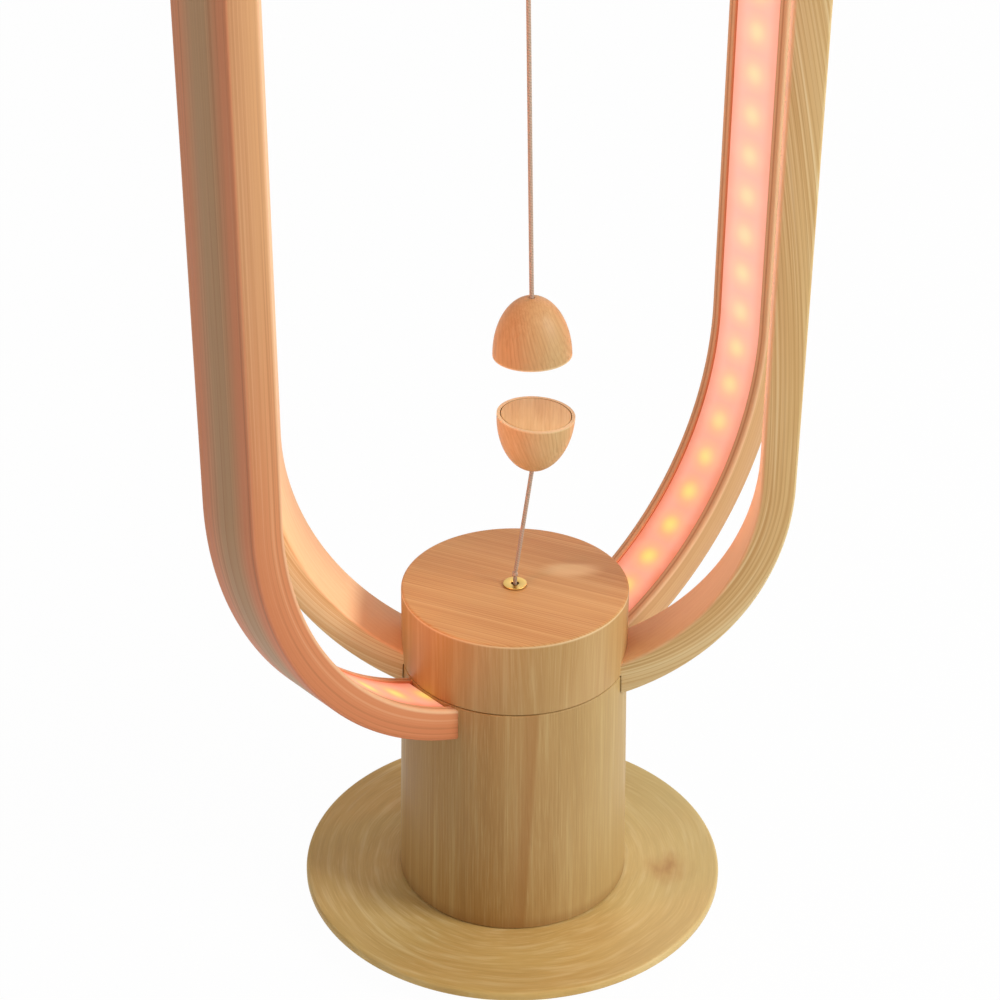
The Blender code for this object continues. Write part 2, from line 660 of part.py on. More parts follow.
# Diffusers, opal strips pushed in between the lips of the channel
diffuser_mid = LED_HOOP_INNER + DIFFUSER_SINK + DIFFUSER_THICKNESS / 2
for number, side in ((1, 1), (2, -1)):
    line = arm_line(diffuser_mid, LED_LOWER_CENTRE_Z, DIFFUSER_START, PIVOT_BLOCK_LENGTH / 2 + SEAT_GAP)
    swept(f"diffuser_{number}", [(side * across, up) for across, up in line],
          bar_section(CHANNEL_WIDTH - 2 * SEAT_GAP, DIFFUSER_THICKNESS, SEAT_GAP), LED_HOOP_ANGLE,
          DIFFUSER_ACRYLIC)


# Pivot block in the top of the channel, with its collar and pin in one piece
def make_top_pivot():
    under = TOP_CENTRE_Z + LED_HOOP_INNER
    over = TOP_CENTRE_Z + math.sqrt(CHANNEL_RADIUS ** 2 - (PIVOT_BLOCK_LENGTH / 2) ** 2) - SEAT_GAP
    collar_z = SWING_TOP_Z + SEAT_GAP + TOP_BUSH_FLANGE_THICKNESS + SEAT_GAP
    pin_z = SWING_TOP_Z - TOP_BUSH_DEPTH + SEAT_GAP
    width = CHANNEL_WIDTH - 2 * SEAT_GAP
    block = box("top_pivot_block", (PIVOT_BLOCK_LENGTH, width, over - under), (0.0, 0.0, (over + under) / 2),
                BRASS, rotation=(0.0, 0.0, LED_HOOP_ANGLE))
    profile = [(0.0, (over + under) / 2), (TOP_COLLAR_RADIUS, (over + under) / 2),
               (TOP_COLLAR_RADIUS, collar_z), (TOP_PIN_RADIUS, collar_z),
               (TOP_PIN_RADIUS, pin_z), (0.0, pin_z)]
    combine(block, turned("top_pin_form", profile, None, steps=SMALL_STEPS), "UNION")
    return block


top_pivot_block = make_top_pivot()
top_screw_z = TOP_CENTRE_Z + LED_HOOP_RADIUS - HOOP_SCREW["rise"] - SEAT_GAP
screw("top_screw", HOOP_SCREW, (0.0, 0.0, top_screw_z))
screw_hole(led_hoop, "top_screw_hoop", HOOP_SCREW, (0.0, 0.0, top_screw_z),
           head_sink=HOOP_SCREW["rise"] + CUT_OVERRUN)
screw_hole(top_pivot_block, "top_screw_block", HOOP_SCREW, (0.0, 0.0, top_screw_z))


# Pivot bush, pressed into the column's top
def make_pivot_bush():
    inner = PIVOT_RADIUS + SEAT_GAP
    outer = inner + BUSH_WALL
    low = BORE_TOP_Z
    shoulder = SEAM_Z - BUSH_FLANGE_THICKNESS
    profile = [(BUSH_FLANGE_RADIUS, SEAM_Z), (BUSH_FLANGE_RADIUS, shoulder), (outer, shoulder), (outer, low),
               (inner, low), (inner, SEAM_Z)]
    return turned("pivot_bush", profile, BRASS, steps=MEDIUM_STEPS, closed=True)


make_pivot_bush()

# Everything that turns hangs from one empty on the column's axis
swing_axis = new_empty("swing_axis", (0.0, 0.0, SEAM_Z))


def swinging(piece):
    piece.parent = swing_axis
    piece.location.z -= SEAM_Z
    return piece


# Turret, a turned cap with a pocket below for the pivot's flange
def make_turret():
    hole = PIVOT_BORE_RADIUS + SEAT_GAP
    guide_hole = GUIDE_RADIUS + SEAT_GAP
    pocket_z = TURRET_Z + TURRET_POCKET_DEPTH
    guide_z = TURRET_TOP_Z - GUIDE_DEPTH - SEAT_GAP
    rounding = [(COLUMN_TOP_RADIUS - TURRET_EDGE * (1 - math.sin(a)),
                 TURRET_TOP_Z - TURRET_EDGE * (1 - math.cos(a)))
                for a in (0.0, math.pi / 4, math.pi / 2)]
    profile = [*rounding, (COLUMN_TOP_RADIUS, TURRET_Z + EDGE_SOFTENING),
               (COLUMN_TOP_RADIUS - EDGE_SOFTENING, TURRET_Z), (TURRET_POCKET_RADIUS, TURRET_Z),
               (TURRET_POCKET_RADIUS, pocket_z), (hole, pocket_z), (hole, guide_z), (guide_hole, guide_z),
               (guide_hole, TURRET_TOP_Z)]
    return turned("turret", profile, MAPLE, closed=True)


turret = swinging(make_turret())

# Swing hoop: a plain bent bar whose ends are tongued into the turret and coped to the column
swing_mid_radius = SWING_HOOP_RADIUS - HOOP_THICKNESS / 2
swing_hoop = swinging(swept("swing_hoop", hoop_line(swing_mid_radius, SWING_LOWER_CENTRE_Z, TONGUE_START),
                            bar_section(SWING_HOOP_WIDTH, HOOP_THICKNESS, HOOP_EDGE), SWING_HOOP_ANGLE,
                            MAPLE))
cope_low_z = height_on_arc(SWING_HOOP_RADIUS, SWING_LOWER_CENTRE_Z, TONGUE_START) - CUT_OVERRUN
cut(swing_hoop, turned("column_cope", [(0.0, TURRET_Z), (column_radius(TURRET_Z) + SEAT_GAP, TURRET_Z),
                                       (column_radius(cope_low_z) + SEAT_GAP, cope_low_z),
                                       (0.0, cope_low_z)], None))
for side, label in ((1, "right"), (-1, "left")):
    cut(turret, make_hoop_notch(f"swing_notch_{label}", SWING_HOOP_WIDTH, swing_mid_radius,
                                SWING_LOWER_CENTRE_Z, TONGUE_START, 0.0, SWING_HOOP_ANGLE, side))

for number, side in ((1, 1), (2, -1)):
    name = f"swing_hoop_screw_{number}"
    place = on_plane(SWING_HOOP_ANGLE, side * TONGUE_SCREW_PLACE, 0.0,
                     TURRET_Z + TONGUE_SCREW["rise"] + SEAT_GAP)
    swinging(screw(name, TONGUE_SCREW, place, upside_down=True))
    screw_hole(swing_hoop, name + "_hoop", TONGUE_SCREW, place, True, TONGUE_SCREW["rise"] + CUT_OVERRUN)
    screw_hole(turret, name + "_turret", TONGUE_SCREW, place, True)


# Pivot tube: flange under the turret, tube down through the bush, nut and spring washer below
def make_pivot_tube():
    flange_top = TURRET_Z + TURRET_POCKET_DEPTH - SEAT_GAP
    flange_low = flange_top - PIVOT_FLANGE_THICKNESS
    low = BORE_TOP_Z - WASHER_THICKNESS - NUT_THICKNESS - PIVOT_TAIL
    profile = [(PIVOT_FLANGE_RADIUS, flange_top), (PIVOT_FLANGE_RADIUS, flange_low),
               (PIVOT_RADIUS, flange_low), (PIVOT_RADIUS, low), (PIVOT_BORE_RADIUS, low),
               (PIVOT_BORE_RADIUS, flange_top)]
    return turned("pivot_tube", profile, STEEL, steps=MEDIUM_STEPS, closed=True), flange_low


pivot_tube, flange_low_z = make_pivot_tube()
swinging(pivot_tube)
for number, (x, y) in enumerate(circle_places(3, FLANGE_SCREW_CIRCLE), 1):
    name = f"flange_screw_{number}"
    place = (x, y, flange_low_z - SEAT_GAP)
    swinging(screw(name, FLANGE_SCREW, place, upside_down=True))
    screw_hole(pivot_tube, name + "_flange", FLANGE_SCREW, place, True)
    screw_hole(turret, name + "_turret", FLANGE_SCREW, place, True)

washer_top_z = BORE_TOP_Z - SEAT_GAP
washer_low_z = washer_top_z - WASHER_THICKNESS
washer_inner = PIVOT_RADIUS + SEAT_GAP
swinging(turned("spring_washer",
                ring_profile(washer_inner + WASHER_WIDTH, washer_inner, washer_low_z, washer_top_z),
                STEEL, steps=MEDIUM_STEPS, closed=True))
nut_top_z = washer_low_z - SEAT_GAP
pivot_nut = swinging(prism("pivot_nut", NUT_ACROSS_CORNERS / 2, 6, nut_top_z - NUT_THICKNESS, nut_top_z,
                           STEEL))
drill(pivot_nut, "pivot_nut", PIVOT_RADIUS + SEAT_GAP, nut_top_z - NUT_THICKNESS - CUT_OVERRUN,
      nut_top_z + CUT_OVERRUN, steps=MEDIUM_STEPS)


# Cord guide, a small brass eyelet in the middle of the turret
def make_cord_guide():
    bore = CORD_RADIUS + 2 * SEAT_GAP
    lip = GUIDE_RADIUS + GUIDE_LIP_WIDTH
    low = TURRET_TOP_Z - GUIDE_DEPTH
    seat = TURRET_TOP_Z + SEAT_GAP
    top = TURRET_TOP_Z + GUIDE_LIP
    profile = [(bore + SEAT_GAP, top), (lip - SEAT_GAP, top), (lip, seat), (GUIDE_RADIUS, seat),
               (GUIDE_RADIUS, low), (bore, low), (bore, seat)]
    return turned("cord_guide", profile, BRASS, steps=MEDIUM_STEPS, closed=True)


swinging(make_cord_guide())


# Top bush in the swing hoop, and the hollow below it for the cord's knot
def make_top_bush():
    inner = TOP_PIN_RADIUS + SEAT_GAP
    outer = inner + TOP_BUSH_WALL
    low = SWING_TOP_Z - TOP_BUSH_DEPTH + SEAT_GAP
    seat = SWING_TOP_Z + SEAT_GAP
    profile = [(TOP_BUSH_FLANGE_RADIUS, seat + TOP_BUSH_FLANGE_THICKNESS), (TOP_BUSH_FLANGE_RADIUS, seat),
               (outer, seat), (outer, low), (inner, low), (inner, seat + TOP_BUSH_FLANGE_THICKNESS)]
    bush = turned("top_bush", profile, BRASS, steps=SMALL_STEPS, closed=True)
    socket = outer + SEAT_GAP
    hollow = UPPER_KNOT_RADIUS + CORD_RADIUS + 2 * SEAT_GAP
    socket_z = SWING_TOP_Z - TOP_BUSH_DEPTH
    profile = [(0.0, SWING_TOP_Z + CUT_OVERRUN), (socket, SWING_TOP_Z + CUT_OVERRUN), (socket, socket_z),
               (hollow, socket_z), (hollow, UPPER_HINGE_Z), (THROAT_RADIUS, UPPER_HINGE_Z),
               (THROAT_RADIUS + THROAT_FLARE, CORD_EXIT_Z),
               (THROAT_RADIUS + THROAT_FLARE, CORD_EXIT_Z - CUT_OVERRUN), (0.0, CORD_EXIT_Z - CUT_OVERRUN)]
    return bush, turned("top_bush_socket", profile, None, steps=SMALL_STEPS)


top_bush, top_bush_socket = make_top_bush()
swinging(top_bush)
cut(swing_hoop, top_bush_socket)


# Half-egg bobs: shell, magnet and inlaid face, drawn with the flat face down at zero
def bob_shell_profile():
    quarter = math.pi / 2
    tip = CORD_RADIUS + SEAT_GAP
    recess = BOB_RADIUS - BOB_RIM
    inlay_floor = INLAY_THICKNESS + SEAT_GAP
    magnet_floor = inlay_floor + MAGNET_THICKNESS + 2 * SEAT_GAP
    magnet_room = MAGNET_RADIUS + SEAT_GAP
    last = math.asin(BOB_TIP_RADIUS / BOB_RADIUS)
    angles = [last + (quarter - last) * k / 9 for k in range(10)]
    dome = [(BOB_RADIUS * math.sin(a), BOB_HEIGHT * math.cos(a)) for a in angles]
    return [(tip, dome[0][1]), *dome, (recess, 0.0), (recess, inlay_floor), (magnet_room, inlay_floor),
            (magnet_room, magnet_floor), (tip, magnet_floor)]


def make_bob(name, parent, location, rotation):
    """The three pieces of a bob, with its face at the location."""
    place = {"parent": parent, "location": location, "rotation": rotation}
    turned(f"{name}_shell", bob_shell_profile(), MAPLE, steps=BOB_STEPS, closed=True, **place)
    low = INLAY_THICKNESS + 2 * SEAT_GAP
    turned(f"{name}_magnet", cylinder_profile(MAGNET_RADIUS, low, low + MAGNET_THICKNESS), MAGNET_NICKEL,
           steps=BOB_STEPS, **place)
    turned(f"{name}_inlay", cylinder_profile(BOB_RADIUS - BOB_RIM - SEAT_GAP, 0.0, INLAY_THICKNESS), MAPLE,
           steps=BOB_STEPS, **place)


bob_cord_depth = BOB_HEIGHT - INLAY_THICKNESS - MAGNET_THICKNESS - 4 * SEAT_GAP

# Upper bob: hangs in the throat below the swing hoop's top, leaning a little to one side
upper_hang = new_empty("upper_hang", (0.0, 0.0, UPPER_HINGE_Z - SEAM_Z), (0.0, -UPPER_LEAN, 0.0), swing_axis)
turned("upper_knot", [(UPPER_KNOT_RADIUS * math.sin(a), UPPER_KNOT_RADIUS * (1 + math.cos(a)) + SEAT_GAP)
                      for a in (math.pi * k / 8 for k in range(9))], CORD_COTTON, steps=SMALL_STEPS,
       parent=upper_hang)
upper_face_drop = UPPER_HINGE_Z - UPPER_BOB_TIP_Z + BOB_HEIGHT
upper_cord_end = upper_face_drop - BOB_HEIGHT + bob_cord_depth
round_rod("upper_cord", [(0.0, 0.0, 0.0), (0.0, 0.0, -upper_cord_end)], CORD_RADIUS, CORD_COTTON,
          parent=upper_hang)
make_bob("upper_bob", upper_hang, (0.0, 0.0, -upper_face_drop), (0.0, 0.0, 0.0))

# Lower bob: floats on its taut cord above the knot that stops the cord from slipping inside
lower_hang = new_empty("lower_hang", (0.0, 0.0, LOWER_KNOT_Z))
turned("lower_knot", [(LOWER_KNOT_RADIUS * math.sin(a), LOWER_KNOT_RADIUS * math.cos(a))
                     for a in (math.pi * k / 8 for k in range(9))], CORD_COTTON, steps=SMALL_STEPS,
       parent=lower_hang)
tip = Vector((LOWER_BOB_SHIFT, 0.0, LOWER_BOB_TIP_Z - LOWER_KNOT_Z))
egg_axis = Vector((math.sin(LOWER_BOB_LEAN), 0.0, math.cos(LOWER_BOB_LEAN)))
cord_start = tip.normalized() * (LOWER_KNOT_RADIUS + SEAT_GAP)
round_rod("lower_cord", [cord_start, tip - egg_axis * CORD_RADIUS, tip + egg_axis * bob_cord_depth],
          CORD_RADIUS, CORD_COTTON, parent=lower_hang)
make_bob("lower_bob", lower_hang, tip + egg_axis * BOB_HEIGHT, (math.pi, LOWER_BOB_LEAN, 0.0))


# Pull switch: plate across the bore, open housing below it, sprung slider inside
plate_low_z = SWITCH_TOP_Z - SWITCH_PLATE_THICKNESS
lead_angles = (LED_HOOP_ANGLE, LED_HOOP_ANGLE + math.pi)
lead_circle = BORE_RADIUS - 2 * LEAD_RADIUS - SEAT_GAP
switch_plate = turned("switch_plate", ring_profile(BORE_RADIUS - SEAT_GAP, SLIDER_STEM_RADIUS + 2 * SEAT_GAP,
                                                   plate_low_z, SWITCH_TOP_Z), BLACK_PLASTIC, closed=True)
for angle, label in zip(lead_angles, ("right", "left")):
    drill(switch_plate, f"lead_pass_{label}", LEAD_HOLE_RADIUS, plate_low_z - CUT_OVERRUN,
          SWITCH_TOP_Z + CUT_OVERRUN,
          location=(lead_circle * math.cos(angle), lead_circle * math.sin(angle), 0.0))

housing_top_z = plate_low_z - SEAT_GAP
switch_housing = box("switch_housing", (SWITCH_WIDTH, SWITCH_DEPTH, SWITCH_HEIGHT),
                     (0.0, 0.0, housing_top_z - SWITCH_HEIGHT / 2), BLACK_PLASTIC)
housing_room = (SWITCH_WIDTH - 2 * SWITCH_WALL, SWITCH_DEPTH - 2 * SWITCH_WALL, SWITCH_HEIGHT)
cut(switch_housing, box("switch_housing_room", housing_room,
                        (0.0, 0.0, housing_top_z - SWITCH_HEIGHT / 2 + SWITCH_WALL), None))

# Slider with its stem, drawn up by the cord against the spring
slider_top_z = plate_low_z - SPRING_LENGTH - 2 * SEAT_GAP
slider_size = (housing_room[0] - 2 * SEAT_GAP, housing_room[1] - 2 * SEAT_GAP, SLIDER_THICKNESS)
switch_slider = box("switch_slider", slider_size, (0.0, 0.0, slider_top_z - SLIDER_THICKNESS / 2),
                    BLACK_PLASTIC)
stem_top_z = SWITCH_TOP_Z + PULL_STROKE + SEAT_GAP
combine(switch_slider,
        turned("slider_stem",
               cylinder_profile(SLIDER_STEM_RADIUS, slider_top_z - SLIDER_THICKNESS / 2, stem_top_z), None,
               steps=SMALL_STEPS), "UNION")
round_rod("pull_cord", [(0.0, 0.0, stem_top_z + SEAT_GAP),
                        (0.0, 0.0, LOWER_KNOT_Z - LOWER_KNOT_RADIUS - SEAT_GAP)], CORD_RADIUS, CORD_COTTON)

# Spring round the stem, pushed together between slider and plate
spring_low_z = slider_top_z + SEAT_GAP + SPRING_WIRE_RADIUS
spring_rise = SPRING_LENGTH - 2 * SPRING_WIRE_RADIUS
spring_points = []
for step in range(SPRING_TURNS * SPRING_POINTS_PER_TURN + 1):
    share = step / (SPRING_TURNS * SPRING_POINTS_PER_TURN)
    angle = math.tau * SPRING_TURNS * share
    spring_points.append((SPRING_RADIUS * math.cos(angle), SPRING_RADIUS * math.sin(angle),
                          spring_low_z + spring_rise * share))
round_rod("switch_spring", spring_points, SPRING_WIRE_RADIUS, STEEL, resolution=1)
print("spring: least gap between turns", round(spring_rise / SPRING_TURNS - 2 * SPRING_WIRE_RADIUS, 5), "m")

# Contact bar on the slider, and the two fixed contacts above its ends
bar_length = slider_size[0] - 2 * CONTACT_THICKNESS
bar_place = slider_size[1] / 2 - CONTACT_WIDTH / 2 - CONTACT_THICKNESS
bar_low_z = slider_top_z + SEAT_GAP
contact_room_y = SPRING_RADIUS + SPRING_WIRE_RADIUS + SEAT_GAP
bar_width = slider_size[1] / 2 - contact_room_y - SEAT_GAP
bar_y = (slider_size[1] / 2 + contact_room_y) / 2
box("contact_bar", (bar_length, bar_width, CONTACT_THICKNESS),
    (0.0, bar_y, bar_low_z + CONTACT_THICKNESS / 2), BRASS)
contact_low_z = bar_low_z + CONTACT_THICKNESS + SEAT_GAP
for number, side in ((1, 1), (2, -1)):
    x = side * (housing_room[0] / 2 - SEAT_GAP - CONTACT_WIDTH / 2)
    blade = box(f"switch_contact_{number}", (CONTACT_WIDTH, bar_width, CONTACT_THICKNESS),
                (x, bar_y, contact_low_z + CONTACT_THICKNESS / 2), BRASS)
    riser_x = side * (housing_room[0] / 2 - SEAT_GAP - CONTACT_THICKNESS / 2)
    riser_top = housing_top_z - SEAT_GAP
    combine(blade, box(f"contact_riser_{number}", (CONTACT_THICKNESS, bar_width, riser_top - contact_low_z),
                       (riser_x, bar_y, (riser_top + contact_low_z) / 2), None), "UNION")


# Driver board, held edgewise in the bore, with its parts soldered on
board_low_z = COLUMN_FOOT_Z + BOARD_LIFT
board_top_z = board_low_z + BOARD_HEIGHT
board_width = 2 * math.sqrt((BORE_RADIUS - SEAT_GAP) ** 2 - (BOARD_THICKNESS / 2) ** 2)
driver_board = box("driver_board", (board_width, BOARD_THICKNESS, BOARD_HEIGHT),
                   (0.0, 0.0, (board_low_z + board_top_z) / 2), BOARD_GREEN)
can_radius = BOARD_HEIGHT * CAN_RADIUS_SHARE
can_height = board_width * CAN_HEIGHT_SHARE
board_middle = (board_low_z + board_top_z) / 2
combine(driver_board,
        turned("smoothing_can", cylinder_profile(can_radius, 0.0, can_height), None, steps=SMALL_STEPS,
               location=(-board_width / 4, 0.0, board_middle), rotation=(math.pi / 2, 0.0, 0.0)), "UNION")
chip_size = tuple(board_width * share for share in CHIP_SHARES)
combine(driver_board, box("driver_chip", chip_size, (0.0, -chip_size[1] / 2, board_middle), None), "UNION")
connector_size = tuple(board_width * share for share in CONNECTOR_SHARES)
connector_x = board_width / 2 * CONNECTOR_PLACE_SHARE
connector_z = board_top_z - connector_size[2] / 2
for side in (1, -1):
    combine(driver_board, box(f"connector_{'front' if side < 0 else 'rear'}", connector_size,
                              (side * connector_x, side * connector_size[1] / 2, connector_z), None), "UNION")


# Power inlet at the back of the column's foot
def make_power_inlet():
    face = column_radius(INLET_Z) - INLET_FLANGE_RADIUS ** 2 / column_radius(INLET_Z) / 2
    shoulder = -INLET_FLANGE_THICKNESS
    floor = -INLET_SOCKET_DEPTH
    profile = [(0.0, floor), (INLET_SOCKET_RADIUS, floor),
               (INLET_SOCKET_RADIUS, 0.0), (INLET_FLANGE_RADIUS, 0.0), (INLET_FLANGE_RADIUS, shoulder),
               (INLET_BARREL_RADIUS, shoulder), (INLET_BARREL_RADIUS, -INLET_LENGTH), (0.0, -INLET_LENGTH)]
    place = {"location": (0.0, face, INLET_Z), "rotation": (-math.pi / 2, 0.0, 0.0)}
    turned("power_inlet", profile, BLACK_PLASTIC, steps=MEDIUM_STEPS, **place)
    turned("inlet_pin", cylinder_profile(INLET_PIN_RADIUS, floor + SEAT_GAP, shoulder), BRASS,
           steps=SMALL_STEPS, **place)
    flange = INLET_FLANGE_RADIUS + SEAT_GAP
    barrel = INLET_BARREL_RADIUS + SEAT_GAP
    seat = shoulder - SEAT_GAP
    through = -(face - BORE_RADIUS) - CUT_OVERRUN
    room = [(0.0, CUT_OVERRUN), (flange, CUT_OVERRUN), (flange, seat), (barrel, seat), (barrel, through),
            (0.0, through)]
    cut(column_body, turned("power_inlet_room", room, None, steps=MEDIUM_STEPS, **place))


make_power_inlet()


# Leads from the strips, through the column's wall and down the bore to the board
def lead_route(angle, side):
    floor_z = height_on_arc(CHANNEL_RADIUS, LED_LOWER_CENTRE_Z, STRIP_START)
    wall_z = BORE_TOP_Z - LEAD_HOLE_RADIUS - SEAT_GAP
    tenon_z = height_on_arc(CHANNEL_RADIUS, LED_LOWER_CENTRE_Z, TENON_START)
    lift = LEAD_RADIUS + 2 * SEAT_GAP
    along = math.sqrt(lead_circle ** 2 - LEAD_OFFSET ** 2)
    start = on_plane(angle, STRIP_START - SEAT_GAP, side * LEAD_OFFSET, floor_z + lift)
    mouth = on_plane(angle, TENON_START, side * LEAD_OFFSET, tenon_z + lift)
    inside = on_plane(angle, along + LEAD_RADIUS, side * LEAD_OFFSET, wall_z)
    return start, mouth, inside


for number, angle in enumerate(lead_angles, 1):
    side = 1
    start, mouth, inside = lead_route(angle, side)
    bore_direction = (inside - mouth).normalized()
    hole_turn = bore_direction.to_track_quat("Z", "Y").to_euler()
    length = (inside - mouth).length
    drill(column_body, f"led_lead_{number}", LEAD_HOLE_RADIUS, -CUT_OVERRUN, length + CUT_OVERRUN,
          location=mouth, rotation=hole_turn)
    board_side = 1 if math.sin(angle) > 0 else -1
    pass_point = Vector((lead_circle * math.cos(angle), lead_circle * math.sin(angle), 0.0))
    plug = Vector((board_side * connector_x, board_side * connector_size[1] / 2, board_top_z + SEAT_GAP))
    above = Vector(((inside.x + pass_point.x) / 2, (inside.y + pass_point.y) / 2, 0.0))
    route = [start, mouth, inside,
             above + Vector((0.0, 0.0, (inside.z + SWITCH_TOP_Z) / 2)),
             pass_point + Vector((0.0, 0.0, SWITCH_TOP_Z)), pass_point + Vector((0.0, 0.0, plate_low_z)),
             pass_point + Vector((0.0, 0.0, (plate_low_z + plug.z) / 2)),
             plug + Vector((0.0, 0.0, connector_size[2])), plug]
    round_rod(f"led_lead_{number}", smooth_route(route, LEAD_POINTS), LEAD_RADIUS, BLACK_PLASTIC)

bpy.context.view_layer.update()
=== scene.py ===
import math

import bmesh
import bpy
import numpy as np
from mathutils import Euler, Matrix, Vector


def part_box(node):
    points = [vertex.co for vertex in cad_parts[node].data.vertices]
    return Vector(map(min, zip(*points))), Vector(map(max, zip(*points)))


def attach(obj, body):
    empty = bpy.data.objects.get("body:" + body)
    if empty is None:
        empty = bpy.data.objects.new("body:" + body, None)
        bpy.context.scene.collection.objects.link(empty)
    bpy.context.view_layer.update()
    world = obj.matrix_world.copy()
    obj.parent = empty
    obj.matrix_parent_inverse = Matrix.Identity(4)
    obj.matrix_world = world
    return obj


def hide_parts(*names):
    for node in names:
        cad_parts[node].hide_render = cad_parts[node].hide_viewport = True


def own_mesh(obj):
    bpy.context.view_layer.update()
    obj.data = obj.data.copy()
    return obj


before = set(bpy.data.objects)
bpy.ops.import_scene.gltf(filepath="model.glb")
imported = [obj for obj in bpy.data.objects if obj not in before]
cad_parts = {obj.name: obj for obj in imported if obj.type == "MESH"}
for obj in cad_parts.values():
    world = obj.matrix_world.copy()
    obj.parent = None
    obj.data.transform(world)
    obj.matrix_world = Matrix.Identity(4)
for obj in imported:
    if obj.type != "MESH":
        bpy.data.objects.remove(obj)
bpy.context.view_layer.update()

# Base disc: one piece of pale hardwood, turned on a faceplate. Its top is dished a little, its
# rim is thin and rounded, and it is undercut so that the edge floats above the table. The grain
# follows the turning as rings, with one small knot.
DISC_RADIUS = 0.0770
DISC_TOP = 0.0090
DISC_UNDERSIDE = 0.0015
RIM_TOP = 0.0093
RIM_LOW = 0.0063
RIM_ROUNDING = 0.00105
RIM_LOW_ROUNDING = 0.0008
RIM_FLAT = 0.0010
DISC_DISH = 0.0007
DISH_STEPS = 12
DISC_SEAT = 0.0430
UNDERCUT_END = 0.0685
PLATE_RECESS_RADIUS = 0.0573
PLATE_RECESS_TOP = 0.0057
KNOT_PLACE = (0.0578, -0.0045, 0.0088)


def eased(corners, steps=5):
    """Profile points from (radius, height, rounding) corners of a closed outline."""
    points = []
    for i, (radius, height, rounding) in enumerate(corners):
        here = Vector((radius, height))
        if rounding == 0.0:
            points.append(here)
            continue
        back = (Vector(corners[i - 1][:2]) - here).normalized()
        on = (Vector(corners[(i + 1) % len(corners)][:2]) - here).normalized()
        half = back.angle(on) / 2
        centre = here + (back + on).normalized() * rounding / math.sin(half)
        first = here + back * rounding / math.tan(half) - centre
        last = here + on * rounding / math.tan(half) - centre
        sweep = first.angle(last)
        for k in range(steps + 1):
            a, b = math.sin(sweep * (1 - k / steps)), math.sin(sweep * k / steps)
            points.append(centre + (first * a + last * b) / math.sin(sweep))
    return points


def tidied(mesh, sharp=math.radians(32)):
    """Merged, facing outwards, smooth but for its real edges."""
    solid = bmesh.new()
    solid.from_mesh(mesh)
    bmesh.ops.remove_doubles(solid, verts=solid.verts, dist=0.000001)
    bmesh.ops.recalc_face_normals(solid, faces=solid.faces)
    for face in solid.faces:
        face.smooth = True
    for edge in solid.edges:
        edge.smooth = len(edge.link_faces) == 2 and edge.calc_face_angle(0.0) < sharp
    solid.to_mesh(mesh)
    solid.free()
    return mesh


def turned(name, profile, steps=160, place=None):
    """A lathe mesh. A profile that starts on the axis ends on it, and any other is a closed ring."""
    verts, faces, rings = [], [], []
    for radius, height in map(Vector, profile):
        if radius < 1e-7:
            rings.append([len(verts)] * steps)
            verts.append((0.0, 0.0, height))
        else:
            rings.append(list(range(len(verts), len(verts) + steps)))
            turns = [math.tau * k / steps for k in range(steps)]
            verts += [(radius * math.cos(turn), radius * math.sin(turn), height) for turn in turns]
    pairs = list(zip(rings, rings[1:]))
    if profile[0][0] > 1e-7:
        pairs.append((rings[-1], rings[0]))
    for upper, lower in pairs:
        for k in range(steps):
            corner = (upper[k], lower[k], lower[(k + 1) % steps], upper[(k + 1) % steps])
            corner = tuple(dict.fromkeys(corner))
            if len(corner) > 2:
                faces.append(corner)
    mesh = bpy.data.meshes.new(name)
    mesh.from_pydata(verts, [], faces)
    if place is not None:
        mesh.transform(place)
    return tidied(mesh)


def set_down(name, data):
    """An object in the scene, at its origin."""
    made = bpy.data.objects.new(name, data)
    bpy.context.scene.collection.objects.link(made)
    return made


def piece(name, mesh, *materials):
    mesh.materials.clear()
    for material in materials:
        mesh.materials.append(material)
    return set_down(name, mesh)


def fitted(made, body, slot, *nodes):
    """The piece rides on its body and stands for these nodes, which are hidden; slot is not used."""
    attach(made, body)
    if nodes:
        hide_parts(*nodes)


def tint(code):
    """A colour as it is seen, such as C9A066, in the renderer's own numbers."""
    shares = [int(code[k:k + 2], 16) / 255 for k in (0, 2, 4)]
    return tuple(c / 12.92 if c <= 0.04045 else ((c + 0.055) / 1.055) ** 2.4 for c in shares) + (1.0,)


def finish(name):
    material = bpy.data.materials.new(name)
    material.use_nodes = True
    return material, material.node_tree, material.node_tree.nodes["Principled BSDF"]


def feed(tree, socket, value):
    if isinstance(value, bpy.types.NodeSocket):
        tree.links.new(value, socket)
    else:
        socket.default_value = value


def sums(tree, operation, *values):
    made = tree.nodes.new("ShaderNodeMath")
    made.operation = operation
    for socket, value in zip(made.inputs, values):
        feed(tree, socket, value)
    return made.outputs[0]


def along(tree, operation, *values):
    made = tree.nodes.new("ShaderNodeVectorMath")
    made.operation = operation
    for socket, value in zip(made.inputs, values):
        feed(tree, socket, value)
    return made.outputs["Value" if operation in ("LENGTH", "DISTANCE", "DOT_PRODUCT") else "Vector"]


def cloud(tree, place, per_metre, detail=2.0, roughness=0.5):
    """A soft pattern, with that many patches per metre along each way of the place."""
    made = tree.nodes.new("ShaderNodeTexNoise")
    feed(tree, made.inputs["Vector"], along(tree, "MULTIPLY", place, per_metre))
    made.inputs["Scale"].default_value = 1.0
    made.inputs["Detail"].default_value = detail
    made.inputs["Roughness"].default_value = roughness
    return made.outputs["Fac"]


def spread(tree, value, low, high, out_low=0.0, out_high=1.0):
    made = tree.nodes.new("ShaderNodeMapRange")
    made.interpolation_type = "SMOOTHSTEP"
    for socket, number in zip(made.inputs, (value, low, high, out_low, out_high)):
        feed(tree, socket, number)
    return made.outputs[0]


